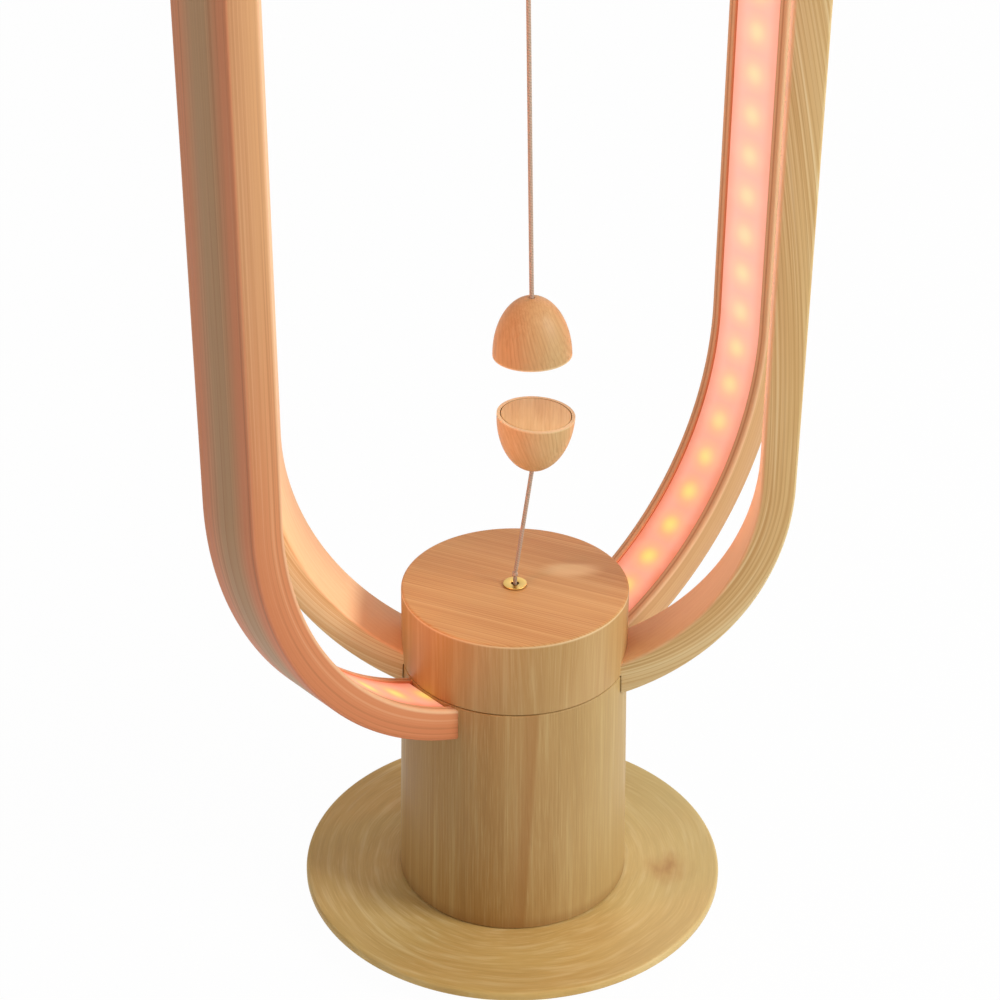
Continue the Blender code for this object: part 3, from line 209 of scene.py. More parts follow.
def blended(tree, share, first, second):
    made = tree.nodes.new("ShaderNodeMix")
    made.data_type = "RGBA"
    feed(tree, made.inputs[0], share)
    feed(tree, made.inputs[6], first)
    feed(tree, made.inputs[7], second)
    return made.outputs[2]


def tinted(tree, share, colour, code):
    return blended(tree, share, colour, tint(code))


def raised(tree, shader, height, strength, depth):
    """The surface stands up a little where height is high."""
    bump = tree.nodes.new("ShaderNodeBump")
    bump.inputs["Strength"].default_value = strength
    bump.inputs["Distance"].default_value = depth
    feed(tree, bump.inputs["Height"], height)
    feed(tree, shader.inputs["Normal"], bump.outputs[0])


def object_place(tree):
    return tree.nodes.new("ShaderNodeTexCoord").outputs["Object"]


def parts_of(tree, place):
    made = tree.nodes.new("ShaderNodeSeparateXYZ")
    feed(tree, made.inputs[0], place)
    return made.outputs


def placed(tree, x, y, z):
    made = tree.nodes.new("ShaderNodeCombineXYZ")
    for socket, value in zip(made.inputs, (x, y, z)):
        feed(tree, socket, value)
    return made.outputs[0]


def hardwood(name, lie, fibre, streak, broad, tones, rings, drift, contrast, marks=None):
    """Satin hardwood. lie gives the place in the wood, and fibre, streak and broad its grain per metre.

    rings are the year rings cut by the surface: how many per metre, and how dark their fine lines are.
    drift is how far the grain wanders, in metres, and marks adds what this piece alone shows.
    """
    material, tree, shader = finish(name)
    dark, middle, light, rosy = (tint(code) for code in tones)
    place = lie(tree)
    wander = cloud(tree, place, broad, 1.0)
    shift = sums(tree, "MULTIPLY", sums(tree, "SUBTRACT", wander, 0.5), drift)
    place = along(tree, "ADD", place, placed(tree, shift, shift, 0.0))
    fibres = cloud(tree, place, fibre, 2.0, 0.65)
    bands = cloud(tree, place, streak, 2.0)
    patches = cloud(tree, along(tree, "ADD", place, (3.1, 1.7, 0.6)), broad, 1.0)
    per_metre, depth = rings
    turn = sums(tree, "MULTIPLY", parts_of(tree, place)[0], math.tau * per_metre)
    late = sums(tree, "SINE", sums(tree, "ADD", turn, sums(tree, "MULTIPLY", bands, 9.0)))
    late = spread(tree, late, 0.35, 1.0, 0.0, depth)
    colour = blended(tree, spread(tree, patches, 0.36, 0.64), middle, rosy)
    colour = blended(tree, spread(tree, bands, 0.30, 0.50, 0.45 * contrast, 0.0), colour, dark)
    colour = blended(tree, spread(tree, bands, 0.50, 0.72, 0.0, 0.80 * contrast), colour, light)
    colour = blended(tree, spread(tree, fibres, 0.30, 0.50, 0.42 * contrast, 0.0), colour, dark)
    colour = blended(tree, spread(tree, fibres, 0.50, 0.70, 0.0, 0.55 * contrast), colour, light)
    late = sums(tree, "MULTIPLY", late, spread(tree, patches, 0.35, 0.60, 0.45, 1.0))
    colour = blended(tree, late, colour, dark)
    if marks:
        colour = marks(tree, colour)
    feed(tree, shader.inputs["Base Color"], colour)
    feed(tree, shader.inputs["Roughness"], spread(tree, fibres, 0.3, 0.7, 0.44, 0.58))
    shader.inputs["Specular IOR Level"].default_value = 0.36
    raised(tree, shader, fibres, 0.16, 0.0002)
    return material


def distance(tree, x, y):
    squares = sums(tree, "MULTIPLY", x, x), sums(tree, "MULTIPLY", y, y)
    return sums(tree, "SQRT", sums(tree, "ADD", *squares))


def ring_place(tree):
    """The distance from the axis, then two shares that go round with the turning."""
    x, y = parts_of(tree, object_place(tree))[:2]
    radius = distance(tree, x, y)
    return placed(tree, radius, sums(tree, "DIVIDE", x, radius), sums(tree, "DIVIDE", y, radius))


def disc_knot_and_light(tree, colour):
    """A soft brown knot, and painted light that makes the disc paler towards the lit side."""
    place = object_place(tree)
    # Painted light: paler towards +x, the side the key lamp lights.
    pale = spread(tree, parts_of(tree, place)[0], 0.018, 0.066, 0.0, 0.40)
    colour = tinted(tree, pale, colour, "E8D69C")
    rough = cloud(tree, place, (260.0, 120.0, 260.0), 3.0)
    away = sums(tree, "ADD", along(tree, "DISTANCE", place, KNOT_PLACE),
                sums(tree, "MULTIPLY", sums(tree, "SUBTRACT", rough, 0.5), 0.012))
    colour = tinted(tree, spread(tree, away, 0.001, 0.0115, 0.55, 0.0), colour, "C08A50")
    return tinted(tree, spread(tree, away, 0.0002, 0.0048, 0.36, 0.0), colour, "A8713C")


DISC_WOOD = hardwood("disc_maple", ring_place, (1700.0, 5.0, 5.0), (340.0, 2.1, 2.1), (60.0, 1.7, 1.7),
                     ("B8924E", "D4B26C", "E8D098", "CEAA66"), (620.0, 0.16), drift=0.005, contrast=0.6,
                     marks=disc_knot_and_light)

dish_end = DISC_RADIUS - RIM_FLAT
dish = []
for k in range(DISH_STEPS):
    fall = DISC_DISH * math.sin(math.pi * k / DISH_STEPS)
    dish.append(Vector((DISC_SEAT + (dish_end - DISC_SEAT) * k / DISH_STEPS,
                        DISC_TOP + (RIM_TOP - DISC_TOP) * k / DISH_STEPS - fall)))
edge = eased([(DISC_RADIUS, RIM_TOP, RIM_ROUNDING), (DISC_RADIUS, RIM_LOW, RIM_LOW_ROUNDING),
              (UNDERCUT_END, DISC_UNDERSIDE, 0.0006), (PLATE_RECESS_RADIUS, DISC_UNDERSIDE, 0.0002),
              (PLATE_RECESS_RADIUS, PLATE_RECESS_TOP, 0.0), (0.0, PLATE_RECESS_TOP, 0.0),
              (0.0, DISC_TOP, 0.0), (DISC_SEAT, DISC_TOP, 0.0)])
profile = [Vector((0.0, DISC_TOP)), *dish, *edge[:-2]]
disc = piece("disc", turned("disc", profile, 224), DISC_WOOD)
fitted(disc, "stand", "wood", "base_disc")

# Ballast plate and its screws: a punched steel disc, zinc plated, let into the underside. Three
# socket screws go up through plate and disc into the column. The same screws serve the hoops.
SCREW_HEAD_RADIUS = 0.0034
SCREW_SHANK_RADIUS = 0.0017
SCREW_HEAD_HEIGHT = 0.0022
SCREW_LENGTH = 0.0240
SCREW_SOCKET = 0.0017
SCREW_COUNT = 3
SCREW_CIRCLE = 0.03275
SCREW_SEAT = 0.0043
SCREW_FIRST = math.radians(-86.0)


def bare_metal(name, colour, roughness, brushing):
    """Metal with fine scratches that run round the piece, and duller patches where it was handled."""
    material, tree, shader = finish(name)
    place = object_place(tree)
    scratches = cloud(tree, place, brushing, 3.0, 0.6)
    handled = cloud(tree, place, (70.0, 70.0, 70.0), 2.0)
    dull = spread(tree, handled, 0.35, 0.75, 0.0, 0.35)
    feed(tree, shader.inputs["Base Color"], tinted(tree, dull, tint(colour), "6E675C"))
    shader.inputs["Metallic"].default_value = 1.0
    worn = sums(tree, "ADD", sums(tree, "MULTIPLY", scratches, 0.18), sums(tree, "MULTIPLY", handled, 0.12))
    feed(tree, shader.inputs["Roughness"], sums(tree, "ADD", worn, roughness - 0.15))
    raised(tree, shader, scratches, 0.10, 0.0001)
    return material


ZINC = bare_metal("zinc_plate", "C9C8C2", 0.36, (900.0, 60.0, 900.0))
BRASS = bare_metal("turned_brass", "D9B363", 0.30, (300.0, 300.0, 2600.0))
NICKEL = bare_metal("nickel_plate", "D2CFC8", 0.22, (400.0, 400.0, 400.0))


def coated(material, *nodes):
    """CAD nodes that keep their own shape and get this finish."""
    for name in nodes:
        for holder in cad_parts[name].material_slots:
            holder.material = material


coated(ZINC, "ballast_plate")


def as_plain(source):
    """The evaluated shape as a plain mesh. The source object goes."""
    bpy.context.view_layer.update()
    ready = source.evaluated_get(bpy.context.evaluated_depsgraph_get())
    mesh = bpy.data.meshes.new_from_object(ready)
    mesh.name = source.name
    bpy.data.objects.remove(source)
    return mesh


def cut_away(source, *cutters):
    """The piece's mesh with these shapes cut out of it. The piece and the cutters go."""
    for number, cutter in enumerate(cutters):
        saw = source.modifiers.new(f"cut_{number}", "BOOLEAN")
        saw.object = cutter
        saw.solver = "EXACT"
    mesh = tidied(as_plain(source))
    for cutter in cutters:
        bpy.data.objects.remove(cutter)
    return mesh


def socket_screw(name, head, shank, rise, length, socket, place=None):
    """A screw with a domed head and a six-sided socket, head up, its seat at zero."""
    profile = eased([(0.0, rise, 0.0), (head, rise, rise * 0.35), (head, 0.0, 0.0), (shank, 0.0, 0.0),
                     (shank, rise - length + shank, 0.0), (0.0, rise - length, 0.0)], 4)
    screw = piece(name, turned(name, profile, 36))
    tool = bmesh.new()
    bmesh.ops.create_cone(tool, cap_ends=True, segments=6, radius1=socket, radius2=socket, depth=rise * 1.3)
    bmesh.ops.translate(tool, vec=(0.0, 0.0, rise), verts=tool.verts)
    tool_mesh = bpy.data.meshes.new(name + "_tool")
    tool.to_mesh(tool_mesh)
    tool.free()
    made = cut_away(screw, piece(name + "_tool", tool_mesh))
    if place is not None:
        made.transform(place)
    return made


def new_tree(name, *entries):
    """A Geometry Nodes tree with named inputs, what they give, and the tree's own end."""
    tree = bpy.data.node_groups.new(name, "GeometryNodeTree")
    tree.is_modifier = True
    tree.interface.new_socket("Shape", in_out="OUTPUT", socket_type="NodeSocketGeometry")
    for label, kind in entries:
        tree.interface.new_socket(label, in_out="INPUT", socket_type="NodeSocket" + kind)
    given, end = tree.nodes.new("NodeGroupInput"), tree.nodes.new("NodeGroupOutput")
    return tree, given.outputs, end.inputs[0]


def step(tree, kind, **inputs):
    """One Geometry Nodes step. In an input's name, an underscore stands for a space."""
    made = tree.nodes.new("GeometryNode" + kind)
    for label, value in inputs.items():
        feed(tree, made.inputs[label.replace("_", " ")], value)
    return made


def close_tree(tree, shape, coat, end):
    """Ends a tree: every copy made real, in its finish."""
    real = step(tree, "RealizeInstances", Geometry=shape).outputs[0]
    feed(tree, end, step(tree, "SetMaterial", Geometry=real, Material=coat).outputs[0])


def run_tree(name, tree, values):
    """The tree's result, as a plain mesh."""
    holder = piece(name, bpy.data.meshes.new(name))
    maker = holder.modifiers.new("make", "NODES")
    maker.node_group = tree
    for entry in tree.interface.items_tree:
        if entry.item_type == "SOCKET" and entry.in_out == "INPUT":
            maker[entry.identifier] = values[entry.name]
    return as_plain(holder)


def screw_ring_tree():
    """Screws in a ring, heads down."""
    tree, need, end = new_tree(
        "screw_ring", ("Screw", "Object"), ("Count", "Int"), ("Circle radius", "Float"),
        ("First angle", "Float"), ("Seat height", "Float"), ("Finish", "Material"))
    ring = step(tree, "MeshCircle", Vertices=need["Count"], Radius=need["Circle radius"]).outputs[0]
    turned_ring = step(tree, "Transform", Geometry=ring, Rotation=placed(tree, 0.0, 0.0, need["First angle"]),
                       Translation=placed(tree, 0.0, 0.0, need["Seat height"])).outputs[0]
    screw = step(tree, "ObjectInfo", Object=need["Screw"]).outputs["Geometry"]
    spots = step(tree, "InstanceOnPoints", Points=turned_ring, Instance=screw, Rotation=(math.pi, 0.0, 0.0))
    close_tree(tree, spots.outputs[0], need["Finish"], end)
    return tree


pattern = piece("screw_pattern", socket_screw("screw_pattern", SCREW_HEAD_RADIUS, SCREW_SHANK_RADIUS,
                                              SCREW_HEAD_HEIGHT, SCREW_LENGTH, SCREW_SOCKET))
screws = run_tree("base_screws", screw_ring_tree(), {
    "Screw": pattern, "Count": SCREW_COUNT, "Circle radius": SCREW_CIRCLE, "First angle": SCREW_FIRST,
    "Seat height": SCREW_SEAT, "Finish": ZINC})
bpy.data.objects.remove(pattern)
base_screws = piece("base_screws", tidied(screws), ZINC)
fitted(base_screws, "stand", "steel", "base_screw_1", "base_screw_2", "base_screw_3")

# Foot pad: a ring of black rubber, die cut, glued under the disc outside the ballast plate. It is
# what the lamp stands on.
PAD_OUTER = 0.0665
PAD_INNER = 0.0605
PAD_TOP = 0.0012
PAD_ROUNDING = 0.0004


def dull_stuff(name, colour, second, roughness, grain, tooth):
    """Rubber, moulded plastic or board: a fine grain, dull, with faint cloudiness."""
    material, tree, shader = finish(name)
    place = object_place(tree)
    speckle = cloud(tree, place, (grain, grain, grain), 3.0, 0.65)
    haze = cloud(tree, place, (40.0, 40.0, 40.0), 2.0)
    share = sums(tree, "ADD", sums(tree, "MULTIPLY", speckle, 0.5), sums(tree, "MULTIPLY", haze, 0.5))
    share = spread(tree, share, 0.35, 0.65)
    feed(tree, shader.inputs["Base Color"], tinted(tree, share, tint(colour), second))
    feed(tree, shader.inputs["Roughness"], spread(tree, haze, 0.3, 0.7, roughness - 0.07, roughness + 0.07))
    raised(tree, shader, speckle, tooth, 0.0001)
    return material


RUBBER = dull_stuff("pad_rubber", "2A2826", "3A3734", 0.82, 2200.0, 0.45)
BLACK_PLASTIC = dull_stuff("black_plastic", "1C1C1D", "282829", 0.46, 1500.0, 0.18)
profile = eased([(PAD_OUTER, PAD_TOP, 0.0), (PAD_OUTER, 0.0, PAD_ROUNDING), (PAD_INNER, 0.0, PAD_ROUNDING),
                 (PAD_INNER, PAD_TOP, 0.0)])
pad = piece("pad", turned("pad", profile, 192), RUBBER)
fitted(pad, "stand", "rubber", "foot_pad")

# Column: a turned hardwood tube with a closed top and a slight taper, its edges broken by hand.
# The grain stands upright in it. The ends of the lit hoop run into its top, with no notches cut for them,
# and a stepped hole at the back holds the power inlet.
FOOT_RADIUS = 0.0420
TOP_RADIUS = 0.0400
FOOT_HEIGHT = 0.0093
SEAM = 0.1003
BORE_RADIUS = 0.0235
BORE_TOP = 0.0905
PIVOT_HOLE = 0.0088
BUSH_SEAT_RADIUS = 0.0183
BUSH_SEAT = 0.0985
INLET_HEIGHT = 0.0225
INLET_FACE = 0.04109
INLET_FLANGE_RADIUS = 0.0072
INLET_FLANGE_THICKNESS = 0.0012
INLET_BARREL_RADIUS = 0.0052
INLET_ROOM_GAP = 0.0003
INLET_ROOM_DEPTH = 0.0195
INLET_CUT_OVERRUN = 0.0040


def column_heart_and_light(tree, colour):
    """A brown heart line down the front, painted light that makes the wood paler to its right, and darker
    wood towards the foot.
    """
    x, y, z = parts_of(tree, object_place(tree))
    front = spread(tree, y, -0.032, -0.020, 1.0, 0.0)
    right = sums(tree, "SUBTRACT", x, sums(tree, "ADD", 0.0038, sums(tree, "MULTIPLY", z, 0.045)))
    line = sums(tree, "MULTIPLY", spread(tree, right, -0.0080, -0.0003, 0.0, 0.55),
                spread(tree, right, 0.0, 0.0014, 1.0, 0.0))
    colour = tinted(tree, sums(tree, "MULTIPLY", line, front), colour, "A2703A")
    # Painted light: paler to the right of the heart line, the side the key lamp lights.
    colour = tinted(tree, spread(tree, x, 0.008, 0.036, 0.0, 0.35), colour, "D0BE88")
    low = spread(tree, z, FOOT_HEIGHT, FOOT_HEIGHT + 0.006, 0.42, 0.0)
    return tinted(tree, low, colour, "8F6231")


COLUMN_WOOD = hardwood("column_maple", object_place, (2600.0, 2600.0, 12.0), (430.0, 430.0, 6.0),
                       (36.0, 36.0, 4.0), ("98703C", "B8945E", "CAB07A", "AE844A"), (900.0, 0.18),
                       drift=0.004, contrast=0.6, marks=column_heart_and_light)
profile = eased([
    (TOP_RADIUS, SEAM, 0.0005), (FOOT_RADIUS, FOOT_HEIGHT, 0.0004), (BORE_RADIUS, FOOT_HEIGHT, 0.0004),
    (BORE_RADIUS, BORE_TOP, 0.0), (PIVOT_HOLE, BORE_TOP, 0.0), (PIVOT_HOLE, BUSH_SEAT, 0.0),
    (BUSH_SEAT_RADIUS, BUSH_SEAT, 0.0), (BUSH_SEAT_RADIUS, SEAM, 0.0003)])
whole = piece("column_whole", turned("column_whole", profile, 200), COLUMN_WOOD)
inlet_place = Matrix.Translation((0.0, INLET_FACE, INLET_HEIGHT)) @ Matrix.Rotation(-math.pi / 2, 4, "X")
wide, narrow = INLET_FLANGE_RADIUS + INLET_ROOM_GAP, INLET_BARREL_RADIUS + INLET_ROOM_GAP
shelf = -INLET_FLANGE_THICKNESS - INLET_ROOM_GAP
room = [(0.0, INLET_CUT_OVERRUN), (wide, INLET_CUT_OVERRUN), (wide, shelf), (narrow, shelf),
        (narrow, -INLET_ROOM_DEPTH), (0.0, -INLET_ROOM_DEPTH)]
mesh = cut_away(whole, piece("inlet_room", turned("inlet_room", room, 72, inlet_place)))
mesh.name = "column"
column = piece("column", mesh, COLUMN_WOOD)
fitted(column, "stand", "wood", "column_body")

# Power inlet: a moulded black socket for a low-voltage plug, pushed into the back of the
# column's foot, with a brass pin in the middle.
INLET_LENGTH = 0.0170
PLUG_HOLE_RADIUS = 0.0031
PLUG_HOLE_DEPTH = 0.0090
CONTACT_RADIUS = 0.0010
CONTACT_TIP = 0.0012
CONTACT_ROOT = 0.0087

profile = eased([
    (0.0, -PLUG_HOLE_DEPTH, 0.0), (PLUG_HOLE_RADIUS, -PLUG_HOLE_DEPTH, 0.0), (PLUG_HOLE_RADIUS, 0.0, 0.0004),
    (INLET_FLANGE_RADIUS, 0.0, 0.0005), (INLET_FLANGE_RADIUS, -INLET_FLANGE_THICKNESS, 0.0),
    (INLET_BARREL_RADIUS, -INLET_FLANGE_THICKNESS, 0.0), (INLET_BARREL_RADIUS, -INLET_LENGTH, 0.0004),
    (0.0, -INLET_LENGTH, 0.0)])
inlet = piece("inlet", turned("inlet", profile, 72, inlet_place), BLACK_PLASTIC)
fitted(inlet, "stand", "black_plastic", "power_inlet")
profile = eased([(0.0, -CONTACT_TIP, 0.0), (CONTACT_RADIUS, -CONTACT_TIP, 0.0007),
                 (CONTACT_RADIUS, -CONTACT_ROOT, 0.0), (0.0, -CONTACT_ROOT, 0.0)])
pin = piece("inlet_contact", turned("inlet_contact", profile, 24, inlet_place), BRASS)
fitted(pin, "stand", "brass", "inlet_pin")

# Works in the column: the board with its soldered parts, the switch plate, housing, contacts and
# spring, and the leads. They are out of sight, keep their own shapes and get their finishes.
BOARD = dull_stuff("board_laminate", "1E5A34", "2A6E41", 0.38, 700.0, 0.10)
coated(BOARD, "driver_board")
coated(BLACK_PLASTIC, "switch_plate", "switch_housing", "switch_slider", "led_lead_1", "led_lead_2")
coated(BRASS, "switch_contact_1", "switch_contact_2", "contact_bar", "pivot_bush")
coated(ZINC, "switch_spring", "pivot_tube", "spring_washer", "pivot_nut", "flange_screw_1", "flange_screw_2",
       "flange_screw_3", "led_hoop_screw_1", "led_hoop_screw_2", "swing_hoop_screw_1", "swing_hoop_screw_2")

# Lit hoop: one bar of steam-bent hardwood with a channel routed along its inner face. Its two
# ends are let into the column's top. The grain runs along the bend all the way round.
LIT_WIDTH = 0.0272
HOOP_THICKNESS = 0.0116
TOP_CENTRE = 0.3612
LIT_MIDDLE = 0.1130
LIT_LOWER_CENTRE = 0.199758
LIT_ANGLE = math.radians(42.2)
CHANNEL_WIDTH = 0.0200
CHANNEL_DEPTH = 0.0060
TENON_START = 0.0315
HOOP_ROUNDING = 0.0010
CHANNEL_ROUNDING = 0.0003


def outline(name, corners):
    """A closed section as a curve object, (sideways, outwards), from rounded corners."""
    points = eased(corners, 3)
    data = bpy.data.curves.new(name, "CURVE")
    data.dimensions = "2D"
    spline = data.splines.new("POLY")
    spline.points.add(len(points) - 1)
    for target, point in zip(spline.points, points):
        target.co = (-point[1], point[0], 0.0, 1.0)
    spline.use_cyclic_u = True
    return set_down(name, data)


def bar_outline(name, side, face, rounding):
    return outline(name, [(side, face, rounding), (side, -face, rounding), (-side, -face, rounding),
                          (-side, face, rounding)])


def bent_bar_tree():
    """A section carried along a hoop: half circle at the top, straight sides, arcs in to the foot."""
    tree, need, end = new_tree("bent_bar", ("Section", "Object"), ("Points", "Int"), ("Bend radius", "Float"),
                               ("Upper centre", "Float"), ("Lower centre", "Float"), ("Run from", "Float"),
                               ("Run to", "Float"), ("Turned by", "Float"), ("Finish", "Material"))
    line = step(tree, "CurvePrimitiveLine").outputs[0]
    even = step(tree, "ResampleCurve", Curve=line, Count=need["Points"]).outputs[0]
    share = step(tree, "SplineParameter").outputs["Factor"]

    def work(operation, *values):
        return sums(tree, operation, *values)

    run = work("MULTIPLY", share, work("SUBTRACT", need["Run to"], need["Run from"]))
    run = work("ADD", need["Run from"], run)
    radius = need["Bend radius"]
    side = work("SIGN", run)
    length = work("ABSOLUTE", run)
    quarter = work("MULTIPLY", radius, math.pi / 2)
    straight = work("SUBTRACT", need["Upper centre"], need["Lower centre"])
    top = work("DIVIDE", work("MINIMUM", length, quarter), radius)
    down = work("MINIMUM", work("MAXIMUM", work("SUBTRACT", length, quarter), 0.0), straight)
    low = work("SUBTRACT", work("SUBTRACT", length, quarter), straight)
    low = work("DIVIDE", work("MAXIMUM", low, 0.0), radius)
    across = work("MULTIPLY", work("MULTIPLY", side, radius),
                  work("MULTIPLY", work("SINE", top), work("COSINE", low)))
    up = work("ADD", need["Upper centre"], work("MULTIPLY", radius, work("COSINE", top)))
    up = work("SUBTRACT", work("SUBTRACT", up, down), work("MULTIPLY", radius, work("SINE", low)))
    bend = step(tree, "SetPosition", Geometry=even, Position=placed(tree, across, up, 0.0)).outputs[0]
    square = step(tree, "SetCurveNormal", Curve=bend)
    square.mode = "Z_UP"
    section = step(tree, "ObjectInfo", Object=need["Section"]).outputs["Geometry"]
    bar = step(tree, "CurveToMesh", Curve=square.outputs[0], Profile_Curve=section, Fill_Caps=True).outputs[0]
    upright = placed(tree, math.pi / 2, 0.0, need["Turned by"])
    close_tree(tree, step(tree, "Transform", Geometry=bar, Rotation=upright).outputs[0], need["Finish"], end)
    return tree


BENT_BAR = bent_bar_tree()


def half_run(radius, lower_centre, foot):
    """How far it is along the bend from the top's middle to a foot at that distance from the axis."""
    return radius * (math.pi / 2 + math.acos(foot / radius)) + TOP_CENTRE - lower_centre


def bent_bar(name, section, radius, lower_centre, run_from, run_to, angle, dress, points=420):
    mesh = run_tree(name, BENT_BAR, {
        "Section": section, "Points": points, "Bend radius": radius, "Upper centre": TOP_CENTRE,
        "Lower centre": lower_centre, "Run from": run_from, "Run to": run_to, "Turned by": angle,
        "Finish": dress})
    bpy.data.objects.remove(section)
    return mesh


def store(mesh, name, values):
    """Stores three numbers for each of the mesh's points, for a material to read."""
    layer = mesh.attributes.new(name, "FLOAT_VECTOR", "POINT")
    layer.data.foreach_set("vector", np.asarray(values, np.float32).ravel())


def stored(tree, name):
    made = tree.nodes.new("ShaderNodeAttribute")
    made.attribute_name = name
    return made.outputs["Vector"]


def mark_grain(mesh, radius, lower_centre, angle):
    """Stores, for each point, where it lies in the bent bar: outwards, sideways, along the bend."""
    co = np.empty(len(mesh.vertices) * 3)
    mesh.vertices.foreach_get("co", co)
    x, y, up = co.reshape(-1, 3).T
    across = x * math.cos(angle) + y * math.sin(angle)
    sideways = -x * math.sin(angle) + y * math.cos(angle)
    reach, side = np.abs(across), np.where(across < 0, -1.0, 1.0)
    quarter, straight = radius * math.pi / 2, TOP_CENTRE - lower_centre
    over, under = up > TOP_CENTRE, up < lower_centre
    run = quarter + TOP_CENTRE - up
    run = np.where(over, radius * np.arctan2(reach, up - TOP_CENTRE), run)
    run = np.where(under, quarter + straight + radius * np.arctan2(lower_centre - up, reach), run)
    out = np.where(under, np.hypot(reach, lower_centre - up), reach)
    out = np.where(over, np.hypot(reach, up - TOP_CENTRE), out)
    store(mesh, "grain", np.stack([out - radius, sideways, run * side], 1))


def bend_place(tree):
    return stored(tree, "grain")


def channel_glow_paint(tree, colour):
    """Painted light from the channel reddens the bar's edges, the left arm most, and pales its lips; painted
    shade keeps the back grey-brown in the middle.
    """
    place = bend_place(tree)
    out, sideways, run = parts_of(tree, place)
    reach = sums(tree, "ABSOLUTE", sideways)
    # Painted light: the left arm takes more of the warm glow, and the feet more still.
    left = spread(tree, run, -0.05, 0.05, 1.0, 0.0)
    low = spread(tree, sums(tree, "ABSOLUTE", run), 0.23, 0.38)
    warm = tinted(tree, spread(tree, out, -0.004, 0.005), tint("D39A68"), "C28458")
    warm = tinted(tree, sums(tree, "MULTIPLY", low, 0.75), warm, "CE7448")
    share = sums(tree, "ADD", sums(tree, "MULTIPLY", left, 0.66), 0.16)
    colour = blended(tree, sums(tree, "ADD", share, sums(tree, "MULTIPLY", low, 0.10)), colour, warm)
    # Painted light and shade: the outer face is reddened on the left arm and grey-brown in its middle.
    back = spread(tree, out, 0.0046, 0.0056)
    back_left = sums(tree, "MULTIPLY", back, left)
    colour = tinted(tree, sums(tree, "MULTIPLY", back_left, 0.80), colour, "E28E66")
    middle = sums(tree, "MULTIPLY", spread(tree, reach, 0.0020, 0.0112, 1.0, 0.0), 0.80)
    colour = tinted(tree, sums(tree, "MULTIPLY", back, middle), colour, "B2946C")
    lines = cloud(tree, place, (1300.0, 1300.0, 5.0), 2.0, 0.6)
    for limits, code in (((0.30, 0.48, 0.40, 0.0), "A4683E"), ((0.52, 0.72, 0.0, 0.30), "E4B488")):
        colour = tinted(tree, sums(tree, "MULTIPLY", left, spread(tree, lines, *limits)), colour, code)
    # Painted light: the lips are made pale, with a thin darker line and an orange edge by the channel.
    lip = spread(tree, out, -0.0050, -0.0042, 1.0, 0.0)
    colour = tinted(tree, sums(tree, "MULTIPLY", lip, 0.80), colour, "E8BC92")
    seam = sums(tree, "ABSOLUTE", sums(tree, "SUBTRACT", reach, 0.0117))
    seam = sums(tree, "MULTIPLY", lip, spread(tree, seam, 0.0001, 0.0006, 0.55, 0.0))
    colour = tinted(tree, seam, colour, "B0683C")
    rim = sums(tree, "MULTIPLY", lip, spread(tree, reach, 0.0099, 0.0107, 1.0, 0.0))
    return tinted(tree, sums(tree, "MULTIPLY", rim, 0.60), colour, "D8703E")


LIT_WOOD = hardwood("lit_hoop_ash", bend_place, (1700.0, 1700.0, 10.0), (420.0, 420.0, 5.0),
                    (70.0, 70.0, 4.0), ("B88C54", "D4B27C", "E2C898", "CEA878"), (640.0, 0.28),
                    drift=0.003, contrast=0.6, marks=channel_glow_paint)
side, face = LIT_WIDTH / 2, HOOP_THICKNESS / 2
lip, floor = CHANNEL_WIDTH / 2, face - CHANNEL_DEPTH
section = outline("channel_section", [
    (side, face, HOOP_ROUNDING), (side, -face, HOOP_ROUNDING), (lip, -face, CHANNEL_ROUNDING),
    (lip, -floor, 0.0), (-lip, -floor, 0.0), (-lip, -face, CHANNEL_ROUNDING), (-side, -face, HOOP_ROUNDING),
    (-side, face, HOOP_ROUNDING)])
lit_run = half_run(LIT_MIDDLE, LIT_LOWER_CENTRE, TENON_START)
mesh = bent_bar("lit_hoop", section, LIT_MIDDLE, LIT_LOWER_CENTRE, -lit_run, lit_run, LIT_ANGLE, LIT_WOOD)
mark_grain(tidied(mesh), LIT_MIDDLE, LIT_LOWER_CENTRE, LIT_ANGLE)
lit_hoop = piece("lit_hoop", mesh, LIT_WOOD)
fitted(lit_hoop, "stand", "wood", "led_hoop")

# Light: white tape with a chip every 15 mm on the channel's floor, under an opal cover up each
# arm. The cover glows salmon, with a yellow spot over each chip, strongest near the foot.
COVER_RADIUS = 0.10845
COVER_THICKNESS = 0.0015
COVER_WIDTH = 0.0194
COVER_FOOT = 0.0408
COVER_TOP = 0.0083
TAPE_RADIUS = 0.1127
TAPE_FOOT = 0.0502
CHIP_PITCH = 0.0149
COVER_ROUNDING = 0.0003


